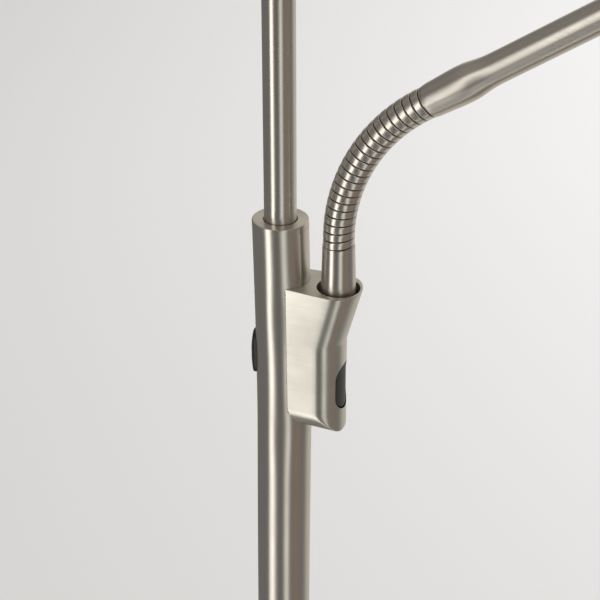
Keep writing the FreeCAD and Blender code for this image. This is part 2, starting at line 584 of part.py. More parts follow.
def gooseneck():
    half = BEND_GROOVE / 2
    middle = LINK / TURNS_PER_LINK
    body = turned((CABLE_BORE_R, half), *turn_outline(half, middle - GROOVE / 2),
                  *turn_outline(middle + GROOVE / 2, LINK - half), (CABLE_BORE_R, LINK - half))
    body = body.cut(Part.makeSphere(BALL_R + BALL_GAP))
    head = ball().cut(rod(CABLE_BORE_R, -BEND_GROOVE, BALL_R))
    head.translate(Vector(0, 0, LINK))
    link = body.fuse(head)
    for k in range(1, JOINTS):
        NODES["gooseneck_link_%02d" % k] = on_neck(k, link)

    spigot_r = ARM_BORE - FIT
    rim, tip = TURN + WIND_PAST, TURN + ARM_L
    end = turned((CABLE_BORE_R, half), *turn_outline(half, TURN - GROOVE / 2),
                 *turn_outline(TURN + GROOVE / 2, rim - GROOVE), (spigot_r, rim - GROOVE),
                 (spigot_r, rim + END_SPIGOT_L), (CABLE_BORE_R, rim + END_SPIGOT_L))
    NODES["gooseneck_end"] = on_neck(JOINTS, end.cut(Part.makeSphere(BALL_R + BALL_GAP)))

    shoulder_mid = ((BELL_RIM_R + BELL_R) / 2 + BELL_BULGE, rim + BELL_START / 2)
    arm = turned(
        (ARM_BORE, rim), (BELL_RIM_R - TURN_CHAMFER, rim), (BELL_RIM_R, rim + TURN_CHAMFER),
        (shoulder_mid, (BELL_R, rim + BELL_START)), (BELL_R, rim + BELL_SHOULDER),
        *ease(BELL_R, rim + BELL_SHOULDER, ARM_R, rim + BELL_END), (ARM_R, tip), (ARM_BORE, tip))
    NODES["arm_tube"] = on_neck(JOINTS, arm)


def reading_head():
    """Built along the arm: local Z out along it, local X the way the light shines."""
    tip = TURN + ARM_L
    pivot = tip + HEAD_PIVOT
    collar_low, collar_high = tip + GAP, tip + FORK_COLLAR
    ear_in = LUG_HALF_T + GAP
    ear_out = ear_in + EAR_T
    fork = rod(ARM_BORE - FIT, tip - FORK_SPIGOT_L, collar_low).fuse(rod(ARM_R, collar_low, collar_high))
    for low, high in ((-ear_out, -ear_in), (ear_in, ear_out)):
        ear = box((-EAR_R, EAR_R), (low, high), (collar_high, pivot)).fuse(rod_y(EAR_R, low, high, 0, pivot))
        fork = fork.fuse(ear)
    fork = fork.cut(rod(CABLE_BORE_R, tip - FORK_SPIGOT_L, collar_high))
    fork = fork.cut(rod_y(HINGE_PIN_R + FIT, -ear_out, ear_out, 0, pivot)).removeSplitter()

    screw_end = -ear_out - HINGE_HEAD_T
    screw = rod_y(HINGE_PIN_R, screw_end, ear_out, 0, pivot)
    screw = screw.fuse(rod_y(HINGE_HEAD_R, ear_out, ear_out + HINGE_HEAD_T, 0, pivot))
    nut = rod_y(HINGE_HEAD_R, screw_end, -ear_out, 0, pivot)
    nut = nut.cut(rod_y(HINGE_PIN_R + FIT, screw_end, -ear_out, 0, pivot))

    centre = pivot + HEAD_OFFSET + HEAD_R
    back, front = -HEAD_T / 2, HEAD_T / 2
    inner_r = HEAD_R - HEAD_WALL
    shell = Part.makeCylinder(HEAD_R, HEAD_T, Vector(back, 0, 0), Vector(1, 0, 0))
    shell = shell.makeFillet(HEAD_EDGE_R, [e for e in shell.Edges if e.BoundBox.XMax < back + GAP])
    shell = shell.cut(rod_x(inner_r, back + HEAD_WALL, front + PAST, 0))
    shell.translate(Vector(0, 0, centre))
    lug = box((-EAR_R, EAR_R), (-LUG_HALF_T, LUG_HALF_T), (pivot, pivot + HEAD_OFFSET + HEAD_WALL / 2))
    lug = lug.fuse(rod_y(EAR_R, -LUG_HALF_T, LUG_HALF_T, 0, pivot))
    lug = lug.cut(rod_y(HINGE_PIN_R + FIT, -LUG_HALF_T, LUG_HALF_T, 0, pivot))
    shell = shell.fuse(lug).removeSplitter()

    board_top = back + HEAD_WALL + BOARD_T
    board = rod_x(HEAD_BOARD_R, back + HEAD_WALL, board_top, centre)
    chip = box((board_top, board_top + CHIP[2]), (-CHIP[0] / 2, CHIP[0] / 2), (-CHIP[1] / 2, CHIP[1] / 2))
    chips = []
    for ring, count in HEAD_CHIP_RINGS:
        for i in range(count):
            angle = 2 * math.pi * i / count
            copy = chip.copy()
            copy.translate(Vector(0, ring * math.cos(angle), centre + ring * math.sin(angle)))
            chips.append(copy)
    lens_front = front - LENS_SUNK
    lens_back = lens_front - LENS_T
    reflector = turned((REFLECTOR_FOOT_R, board_top), (REFLECTOR_FOOT_R + REFLECTOR_WALL, board_top),
                       (inner_r - GAP, lens_back - REFLECTOR_WALL), (inner_r - GAP, lens_back),
                       (inner_r - GAP - REFLECTOR_WALL, lens_back))
    reflector.rotate(Vector(0, 0, 0), Vector(0, 1, 0), 90)
    reflector.translate(Vector(0, 0, centre))
    ring = rod_x(inner_r - GAP, lens_front, front, centre).cut(
        rod_x(inner_r - GAP - LENS_RING_W, lens_front, front, centre))
    pieces = {
        "head_fork": fork,
        "head_hinge_screw": screw,
        "head_hinge_nut": nut,
        "head_shell": shell,
        "head_led_board": Part.makeCompound([board] + chips),
        "head_reflector": reflector,
        "head_lens": rod_x(inner_r - GAP, lens_back, lens_front, centre),
        "head_lens_ring": ring,
    }
    for name, shape in pieces.items():
        NODES[name] = on_neck(JOINTS, shape)


def bowl(radius, z_flat, rim_r, z_rim, z_top):
    """Solid bowl with a spherical side about the dish's centre, a flat floor and an upright lip."""
    middle_z = (z_flat + z_rim) / 2
    middle_r = math.sqrt(radius ** 2 - (DISH_Z + DISH_CENTRE - middle_z) ** 2)
    flat_r = math.sqrt(radius ** 2 - (DISH_Z + DISH_CENTRE - z_flat) ** 2)
    return turned((0, z_flat), (flat_r, z_flat), ((middle_r, middle_z), (rim_r, z_rim)),
                  (rim_r, z_top), (0, z_top))


def uplighter():
    floor = DISH_Z + DISH_WALL
    inner_rim = DISH_R - DISH_WALL
    inner_sphere = DISH_SPHERE_R - DISH_WALL
    inner_rim_z = DISH_Z + DISH_CENTRE - math.sqrt(inner_sphere ** 2 - inner_rim ** 2)
    inside = bowl(inner_sphere, floor, inner_rim, inner_rim_z, LAMP_TOP)
    shell = bowl(DISH_SPHERE_R, DISH_Z, DISH_R, LIP_Z, LAMP_TOP).cut(inside)
    NODES["dish_shell"] = shell.cut(rod(THIN_POLE_R + GAP, DISH_Z, floor))

    low = DISH_Z - HUB_H
    NODES["dish_hub"] = turned(
        (THIN_POLE_R + FIT, low), (HUB_R - HUB_CHAMFER, low), (HUB_R, low + HUB_CHAMFER),
        *ease(HUB_R, low + HUB_CHAMFER, HUB_FLANGE_R, DISH_Z - HUB_FLANGE_T),
        (HUB_FLANGE_R, DISH_Z), (THIN_POLE_R + FIT, DISH_Z))
    NODES["hub_nut"] = hexagon(HUB_NUT_FLATS, floor, floor + HUB_NUT_T).cut(
        rod(THIN_POLE_R + FIT, floor, floor + HUB_NUT_T))

    deck_low = DISH_Z + DECK_Z
    deck_top = deck_low + DECK_T
    deck_r = math.sqrt(inner_sphere ** 2 - (DISH_CENTRE - DECK_Z) ** 2) - DECK_EDGE_GAP
    post = rod(POST_R, DISH_Z, deck_low, POST_CIRCLE).common(Part.makeSphere(
        inner_sphere - FIT, Vector(0, 0, DISH_Z + DISH_CENTRE)))
    thread = rod(DECK_SCREW_R + FIT, deck_top - DECK_SCREW_L - GAP, deck_top, POST_CIRCLE)
    NODES["deck_posts"] = around(post.cut(thread), POST_COUNT, POST_FIRST)
    threads = around(thread, POST_COUNT, POST_FIRST)
    NODES["heat_plate"] = rod(deck_r, deck_low, deck_top).cut(threads)
    screw = rod(DECK_SCREW_R, deck_top - DECK_SCREW_L, deck_top, POST_CIRCLE).fuse(
        rod(DECK_SCREW_HEAD_R, deck_top, deck_top + DECK_SCREW_HEAD_T, POST_CIRCLE))
    NODES["deck_screws"] = around(screw, POST_COUNT, POST_FIRST)

    board_top = deck_top + BOARD_T
    board = tube(deck_r - LED_BOARD_INSET, LED_BOARD_HOLE_R, deck_top, board_top)
    head_hole = rod(DECK_SCREW_HEAD_R + GAP, deck_top, board_top, POST_CIRCLE)
    board = board.cut(around(head_hole, POST_COUNT, POST_FIRST))
    chip = box((-CHIP[0] / 2, CHIP[0] / 2), (-CHIP[1] / 2, CHIP[1] / 2), (board_top, board_top + CHIP[2]))
    rings = []
    for circle, count in LED_RINGS:
        copy = chip.copy()
        copy.translate(Vector(circle, 0, 0))
        rings.append(around(copy, count))
    NODES["uplight_led_board"] = Part.makeCompound([board] + rings)
    NODES["uplight_driver"] = box(DRIVER_X, (-DRIVER_HALF_W, DRIVER_HALF_W), (deck_low - DRIVER_T, deck_low))

    diffuser_low = LIP_Z + DIFFUSER_UP
    diffuser_top = diffuser_low + DIFFUSER_T
    NODES["uplight_diffuser"] = rod(inner_rim - DIFFUSER_INSET, diffuser_low, diffuser_top)
    NODES["diffuser_ring"] = tube(inner_rim - GAP, inner_rim - GAP - RING_W, diffuser_top, LAMP_TOP)


os.makedirs("parts", exist_ok=True)
for build in (base, poles, housing, buttons, swivel, gooseneck, reading_head, uplighter):
    build()
for name, shape in NODES.items():
    shape.exportStep("parts/" + name + ".step")
    solids = shape.Solids
    print("%-22s solids %2d volume %10.1f valid %s" % (name, len(solids), shape.Volume, shape.isValid()))
print(len(NODES), "nodes")
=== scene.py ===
"""Uplighter floor lamp with a reading light on a gooseneck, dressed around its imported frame.

Lengths are in millimetres and become metres where a mesh is made. The pole stands on +Z through the
origin, and +X is the way the switch housing's nose and the reading arm point.
"""
import json
import logging
import math
from dataclasses import dataclass, replace
from enum import Enum
from typing import Optional, Sequence

import bmesh
import bpy
import numpy as np
from mathutils import Matrix


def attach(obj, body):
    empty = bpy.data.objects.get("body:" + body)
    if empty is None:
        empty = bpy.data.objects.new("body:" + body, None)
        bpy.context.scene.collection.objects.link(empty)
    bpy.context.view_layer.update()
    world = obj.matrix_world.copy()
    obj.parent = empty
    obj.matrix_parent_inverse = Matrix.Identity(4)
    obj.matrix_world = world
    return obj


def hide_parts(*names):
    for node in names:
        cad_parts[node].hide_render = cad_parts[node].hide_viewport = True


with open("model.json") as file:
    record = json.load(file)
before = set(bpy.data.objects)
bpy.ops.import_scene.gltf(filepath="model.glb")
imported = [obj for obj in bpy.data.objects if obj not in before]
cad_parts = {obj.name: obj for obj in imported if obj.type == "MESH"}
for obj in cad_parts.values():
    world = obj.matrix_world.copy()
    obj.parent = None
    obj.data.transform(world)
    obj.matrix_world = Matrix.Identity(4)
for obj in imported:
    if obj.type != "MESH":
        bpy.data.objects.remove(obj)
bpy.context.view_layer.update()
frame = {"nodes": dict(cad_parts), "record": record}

LOG = logging.getLogger("lamp")
MM = 0.001
WELD_DISTANCE = 2e-6
UNMOVED = Matrix.Identity(4)
Array = np.ndarray
Link = bpy.types.NodeSocket
Tree = bpy.types.NodeTree
Material = bpy.types.Material
Looks = dict[str, Material]
Colour = tuple[float, float, float, float]
stood_for: set[str] = set()


class Slot(str, Enum):
    """The record's material slots."""

    NICKEL = "brushed_nickel"
    ZINC = "zinc"
    WEIGHT = "cast_weight"
    PLATE = "black_plate"
    FELT = "felt"
    RUBBER = "black_rubber"
    BLACK_PLASTIC = "black_plastic"
    FRONT_KEY = "front_key"
    REAR_KEY = "rear_key"
    SHEATH = "clear_sheath"
    BOARD = "board_green"
    WHITE = "white_plastic"
    ALUMINIUM = "aluminium"
    BRASS = "brass_nut"
    OPAL = "opal"
    LENS = "lens"


class Edge(Enum):
    """How sharply two faces must meet to show a crease, in degrees."""

    SOFT = 180.0
    MACHINED = 34.0


# ---- meshes
@dataclass(frozen=True)
class Patch:
    """A grid of surface points in millimetres, with its own UV grid.

    Attributes:
        points: (rows, columns, 3) array.
        uv: (rows, columns, 2) array. U runs the way a highlight stretches, across the brushing.
        finish: index of the piece's finish, or one per face as (rows - 1, columns - 1).
        normals: (rows, columns, 3) array where the shading must follow a formula exactly. A patch
            that has them is neither moved nor flipped.
    """

    points: Array
    uv: Array
    finish: int | Array = 0
    normals: Optional[Array] = None

    def moved(self, at: Matrix) -> "Patch":
        """The patch carried by a matrix whose translation is in millimetres."""
        return replace(self, points=self.points @ np.array(at.to_3x3()).T + np.array(at.translation))

    def flipped(self) -> "Patch":
        """The patch with its faces turned the other way."""
        return replace(self, points=self.points[:, ::-1], uv=self.uv[:, ::-1])


def grid(rows: Array, columns: Array) -> tuple[Array, Array]:
    """Spreads two lists of parameters over a grid of rows by columns."""
    return np.meshgrid(rows, columns, indexing="ij")


def stack(*axes: Array) -> Array:
    """Joins coordinate arrays, stretched to one shape, along a new last axis."""
    return np.stack(np.broadcast_arrays(*axes), axis=-1).astype(float)


def fan(start: float, end: float, count: int) -> Array:
    """Evenly spaced angles in radians between two angles in degrees."""
    return np.radians(np.linspace(start, end, count))


def arc(centre: tuple[float, float], radius: float, start: float, end: float, steps: int = 6) -> Array:
    """Points centre + radius (cos a, sin a) of a (radius, height) outline, with a in degrees."""
    angle = fan(start, end, steps + 1)
    return np.array(centre) + radius * stack(np.cos(angle), np.sin(angle))


def outline(*parts: Sequence) -> Array:
    """Joins points and arcs into one outline."""
    return np.concatenate([np.atleast_2d(np.asarray(part, float)) for part in parts])


def lengths(line: Array) -> Array:
    """Distance of each of a line's points from its start, along it."""
    return np.concatenate([[0.0], np.cumsum(np.linalg.norm(np.diff(line, axis=0), axis=1))])


def divided(line: Array, step: float) -> Array:
    """Adds evenly spaced points to an outline's long runs, so that no run is longer than a step.

    Args:
        line: (n, 2) outline.
        step: the longest run allowed.

    Returns:
        The outline with the added points.
    """
    runs = np.diff(line, axis=0)
    counts = np.maximum(1, np.ceil(np.linalg.norm(runs, axis=1) / step)).astype(int)
    pieces = [line[i] + runs[i] * (np.arange(n) / n)[:, None] for i, n in enumerate(counts)]
    return np.concatenate(pieces + [line[-1:]])


def lathe(line: Array, segments: int = 128) -> Patch:
    """Surface of revolution about Z, (r cos a, r sin a, z), with one seam that faces -X.

    Args:
        line: (n, 2) outline of radii and heights. Its left side, looking along it, faces inwards.
        segments: number of steps round the axis.

    Returns:
        The patch. Highlights stretch along the outline, across brushing that goes round.
    """
    angle = np.linspace(-math.pi, math.pi, segments + 1)[None]
    radius, height = line[:, :1], line[:, 1:]
    points = stack(radius * np.cos(angle), radius * np.sin(angle), height)
    return Patch(points, stack(lengths(line)[:, None], angle * np.max(radius)))


def from_axes(x: Sequence, y: Sequence, z: Sequence, origin: Sequence) -> Matrix:
    """A matrix from its three axes and its origin."""
    return Matrix([*zip(x, y, z, origin), (0.0, 0.0, 0.0, 1.0)])


def placed(name: str, data: bpy.types.ID) -> bpy.types.Object:
    """Makes an object and links it to the scene.

    Args:
        name: the object's name.
        data: its mesh, light or camera.

    Returns:
        The object.
    """
    thing = bpy.data.objects.new(name, data)
    bpy.context.scene.collection.objects.link(thing)
    return thing


def make_piece(name: str, patches: Sequence[Patch], finishes: Sequence[Material],
               replaced: Sequence[str] = (), body: str = "stand",
               edge: Edge = Edge.MACHINED) -> None:
    """Args:
        name: the piece's name.
        patches: its surface patches.
        finishes: its materials, picked by each patch's finish index.
        replaced: the CAD nodes it stands for.
        body: the body it rides on.
        edge: how sharply faces must meet to show a crease.
    """
    faces, uvs, index = [], [], []
    offset = 0
    for patch in patches:
        rows, columns = patch.points.shape[:2]
        ids = np.arange(rows * columns).reshape(rows, columns) + offset
        quads = np.stack([ids[:-1, :-1], ids[:-1, 1:], ids[1:, 1:], ids[1:, :-1]], axis=-1).reshape(-1, 4)
        faces.append(quads)
        uvs.append(patch.uv.reshape(-1, 2)[quads.ravel() - offset] * MM)
        index.append(np.broadcast_to(patch.finish, (rows - 1, columns - 1)).ravel())
        offset += rows * columns
    verts = np.concatenate([patch.points.reshape(-1, 3) * MM for patch in patches])
    mesh = bpy.data.meshes.new(name)
    mesh.from_pydata(verts, [], np.concatenate(faces))
    mesh.uv_layers.new(name="Brush").data.foreach_set("uv", np.concatenate(uvs).ravel())
    mesh.polygons.foreach_set("material_index", np.concatenate(index).astype(np.int32))
    exact = all(patch.normals is not None for patch in patches)
    if exact:
        shade = np.concatenate([patch.normals.ravel() for patch in patches]).astype(np.float32)
        mesh.attributes.new("shade", "FLOAT_VECTOR", "POINT").data.foreach_set("vector", shade)
    build = bmesh.new()
    build.from_mesh(mesh)
    bmesh.ops.remove_doubles(build, verts=build.verts, dist=WELD_DISTANCE)
    bmesh.ops.dissolve_degenerate(build, edges=build.edges, dist=WELD_DISTANCE / 2)
    build.to_mesh(mesh)
    build.free()
    mesh.shade_smooth()
    if exact:
        normals = np.empty(len(mesh.vertices) * 3, np.float32)
        mesh.attributes["shade"].data.foreach_get("vector", normals)
        mesh.attributes.remove(mesh.attributes["shade"])
        mesh.normals_split_custom_set_from_vertices(normals.reshape(-1, 3).tolist())
    elif edge is not Edge.SOFT:
        mesh.set_sharp_from_angle(angle=math.radians(edge.value))
    for finish in finishes:
        mesh.materials.append(finish)
    piece = placed(name, mesh)
    if replaced:
        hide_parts(*replaced)
        stood_for.update(replaced)
    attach(piece, body)
    LOG.info("%s: %d faces on %s", name, len(mesh.polygons), body)


def turn_piece(name: str, line: Array, finish: Material, node: str, segments: int = 128,
               at: Matrix = UNMOVED, body: str = "stand", edge: Edge = Edge.MACHINED) -> None:
    """Makes a nickel piece that is one surface of revolution, and stands for one CAD node.

    Args:
        name: the piece's name.
        line: its outline of radii and heights.
        finish: its material.
        node: the CAD node.
        segments: number of steps round its axis.
        at: where its axis stands, in millimetres.
        body: the body it rides on.
        edge: how sharply faces must meet to show a crease.
    """
    make_piece(name, [lathe(line, segments).moved(at)], [finish], [node], body, edge=edge)


# ---- materials
def srgb(code: str, level: float = 1.0) -> Colour:
    """Turns an sRGB hex colour into linear values times a level.

    Args:
        code: hex colour with its leading sign.
        level: factor on the light.

    Returns:
        Red, green, blue and an alpha of 1.
    """
    values = [int(code[i:i + 2], 16) / 255 for i in (1, 3, 5)]
    linear = [v / 12.92 if v <= 0.04045 else ((v + 0.055) / 1.055) ** 2.4 for v in values]
    return linear[0] * level, linear[1] * level, linear[2] * level, 1.0


def add(tree: Tree, kind: str, inputs: Optional[dict] = None, **settings: object) -> bpy.types.Node:
    """Adds a node with its settings, input values and links.

    Args:
        tree: the node tree.
        kind: the node's type, without its ShaderNode prefix.
        inputs: input name or number to a value, or to the socket that feeds it.
        settings: attributes of the node.

    Returns:
        The node.
    """
    node = tree.nodes.new("ShaderNode" + kind)
    for key, value in settings.items():
        setattr(node, key, value)
    feed(tree, node, inputs or {})
    return node


def feed(tree: Tree, node: bpy.types.Node, inputs: dict) -> None:
    """Gives a node's inputs their values or links.

    Args:
        tree: the node tree.
        node: the node.
        inputs: input name or number to a value, or to the socket that feeds it.
    """
    for key, value in inputs.items():
        if isinstance(value, bpy.types.NodeSocket):
            tree.links.new(value, node.inputs[key])
        else:
            node.inputs[key].default_value = value


def level_part(tree: Tree, vector: Link) -> tuple[Link, Link, Link]:
    """Splits a vector for a pattern that goes round the upright axis.

    Args:
        tree: the node tree.
        vector: the vector's socket.

    Returns:
        The vector without its Z, the same at length 1, and its Z.
    """
    split = add(tree, "SeparateXYZ", {"Vector": vector}).outputs
    flat = add(tree, "CombineXYZ", {"X": split["X"], "Y": split["Y"]}).outputs[0]
    return flat, add(tree, "VectorMath", {0: flat}, operation="NORMALIZE").outputs[0], split["Z"]


def two_tones(tree: Tree, pattern: Link, code: str, dim: float, low: float) -> Link:
    """Runs a pattern's colour from dimmed at its low end to full at 1 - low.

    Args:
        tree: the node tree.
        pattern: the pattern's socket.
        code: the full sRGB hex colour.
        dim: the dark end's share of its light.
        low: the pattern's value at the dark end.

    Returns:
        The colour's socket.
    """
    node = add(tree, "ValToRGB", {"Fac": pattern})
    for element, position, level in zip(node.color_ramp.elements, (low, 1 - low), (dim, 1.0)):
        element.position, element.color = position, srgb(code, level)
    return node.outputs["Color"]


def new_material(name: str) -> tuple[Material, Tree, bpy.types.Node]:
    """An empty node material with a Principled shader joined to its output.

    Args:
        name: the material's name.

    Returns:
        The material, its tree and its shader.
    """
    material = bpy.data.materials.new(name)
    material.use_nodes = True
    tree = material.node_tree
    tree.nodes.clear()
    shader = add(tree, "BsdfPrincipled")
    add(tree, "OutputMaterial", {"Surface": shader.outputs["BSDF"]})
    return material, tree, shader


@dataclass(frozen=True)
class Variation:
    """How a pattern varies a finish's colour and roughness, and how its height raises the surface.

    Attributes:
        pattern: the pattern's socket, from 0 to 1 with most of it near the middle.
        height: the height's socket.
        spread: how far the roughness swings either way.
        low: the pattern's value at the rough end, and 1 less it at the smooth end.
        tone_low: the same for the colour, at the dark end.
    """

    pattern: Link
    height: Link
    spread: float
    low: float
    tone_low: float = 0.35

    def join(self, tree: Tree, shader: bpy.types.Node, look: "BrushedNickel | Plain") -> Link:
        """Joins the pattern to a shader.

        Args:
            tree: the node tree.
            shader: the Principled shader.
            look: the finish, with its colour, tone, roughness and bump.

        Returns:
            The colour's socket.
        """
        colour = two_tones(tree, self.pattern, look.colour, 1 - look.tone, self.tone_low)
        rough = add(tree, "MapRange", {
            "Value": self.pattern, "From Min": self.low, "From Max": 1 - self.low,
            "To Min": min(1.0, look.roughness + self.spread), "To Max": look.roughness - self.spread})
        bump = add(tree, "Bump", {"Strength": 1.0, "Distance": look.bump * MM, "Height": self.height})
        feed(tree, shader, {"Base Color": colour, "Roughness": rough.outputs[0],
                            "Normal": bump.outputs[0]})
        return colour


@dataclass(frozen=True)
class BrushedNickel:
    """Satin nickel over steel, finished on a fine abrasive belt.

    The belt leaves lines a tenth of a millimetre wide, drawn wider here so that they show. They spread a
    highlight across themselves and keep it narrow along themselves. They lie level, or square to an axis
    that leans by tilt, or on a disc or a bowl in circles about the upright axis.
    """

    disc: bool = False
    colour: str = "#d8d4cd"
    roughness: float = 0.32
    stretch: float = 0.85
    line_width: float = 0.25
    line_length: float = 14.0
    bump: float = 0.012
    tone: float = 0.05
    tilt: float = 0.0
    cloud: float = 22.0
    circles: float = 4.0

    def build(self, name: str) -> Material:
        """Makes the material, with constant metallic and its own UV map as tangent.

        Args:
            name: the material's name.

        Returns:
            The material.
        """
        material, tree, shader = new_material(name)
        place = add(tree, "TexCoord").outputs["Object"]
        fine, coarse = 1 / (self.line_width * MM), 1 / (self.line_length * MM)
        if self.disc:
            flat, unit, height = level_part(tree, place)
            radius = add(tree, "VectorMath", {0: flat}, operation="LENGTH").outputs["Value"]
            run = add(tree, "Math", {0: radius, 1: height}, operation="ADD").outputs[0]
            unit = add(tree, "SeparateXYZ", {"Vector": unit}).outputs
            ways = {"X": (unit["X"], self.circles), "Y": (unit["Y"], self.circles), "Z": (run, fine)}
            scaled = {axis: add(tree, "Math", {0: way, 1: scale}, operation="MULTIPLY").outputs[0]
                      for axis, (way, scale) in ways.items()}
            lines = add(tree, "CombineXYZ", scaled).outputs[0]
        else:
            lines = add(tree, "Mapping", {"Vector": place, "Rotation": (0.0, -self.tilt, 0.0),
                                          "Scale": (coarse, coarse, fine)}).outputs[0]
        scratch = add(tree, "TexNoise", {"Vector": lines, "Scale": 1.0, "Detail": 3.0, "Roughness": 0.6})
        cloud = add(tree, "TexNoise", {"Vector": place, "Scale": 1 / (self.cloud * MM), "Detail": 2.0})
        both = add(tree, "Math", {0: scratch.outputs["Fac"], 1: cloud.outputs["Fac"]}, operation="ADD")
        mean = add(tree, "Math", {0: both.outputs[0], 1: 0.5}, operation="MULTIPLY").outputs[0]
        Variation(mean, scratch.outputs["Fac"], 0.03, 0.35).join(tree, shader, self)
        tangent = add(tree, "Tangent", direction_type="UV_MAP", uv_map="Brush").outputs[0]
        feed(tree, shader, {"Metallic": 1.0, "Anisotropic": self.stretch, "Tangent": tangent})
        return material


@dataclass(frozen=True)
class Plain:
    """An unbrushed finish: moulded plastic, rubber, felt, cast or plated metal, board or glass.

    A fine noise of the stated grit gives it colour variation and bump, so it never reads as flat paint.
    """

    colour: str
    roughness: float
    grit: float
    bump: float
    tone: float = 0.12
    metallic: float = 0.0
    ior: float = 1.46
    sheen: float = 0.0
    transmission: float = 0.0
    glow: float = 0.0

    def build(self, name: str) -> Material:
        """Makes the material from the fields, with the grit in millimetres.

        Args:
            name: the material's name.

        Returns:
            The material.
        """
        material, tree, shader = new_material(name)
        place = add(tree, "TexCoord").outputs["Object"]
        grit = add(tree, "TexNoise", {"Vector": place, "Scale": 1 / (self.grit * MM), "Detail": 3.0})
        height = grit.outputs["Fac"]
        colour = Variation(height, height, 0.04, 0.3).join(tree, shader, self)
        feed(tree, shader, {"Metallic": self.metallic, "Sheen Weight": self.sheen,
                            "Transmission Weight": self.transmission})
        if not self.metallic:
            feed(tree, shader, {"IOR": self.ior})
        if self.glow:
            feed(tree, shader, {"Emission Strength": self.glow, "Emission Color": colour})
        return material


# ---- shapes shared by the sub-assemblies
@dataclass(frozen=True)
class Pill:
    """An upright pill-shaped opening or key, cut straight along X through a round wall.

    Its half height includes its round ends, and its middle is the height of its centre.
    """

    half_width: float
    half_height: float
    middle: float

    def grown(self, by: float) -> "Pill":
        """The pill offset outwards."""
        return Pill(self.half_width + by, self.half_height + by, self.middle)

    def ring(self, directions: Array, grow: float = 0.0) -> Array:
        """Points of the outline in given directions from its centre.

        A ray meets a straight side at half_width / |cos a|, or beyond it a round end, whose centre
        lies run = half_height - half_width up the middle, at run |sin a| + sqrt(w^2 - (run cos a)^2).

        Args:
            directions: angles in radians, from the level direction.
            grow: how far the outline is offset outwards.

        Returns:
            (n, 2) array of level and upright distances from the centre.
        """
        run, width = self.half_height - self.half_width, self.half_width + grow
        cos, sin = np.cos(directions), np.sin(directions)
        side = width / np.maximum(np.abs(cos), 1e-9)
        end = run * np.abs(sin) + np.sqrt(np.maximum(width ** 2 - (run * cos) ** 2, 0.0))
        reach = np.where(side * np.abs(sin) <= run, side, end)
        return stack(reach * cos, reach * sin)


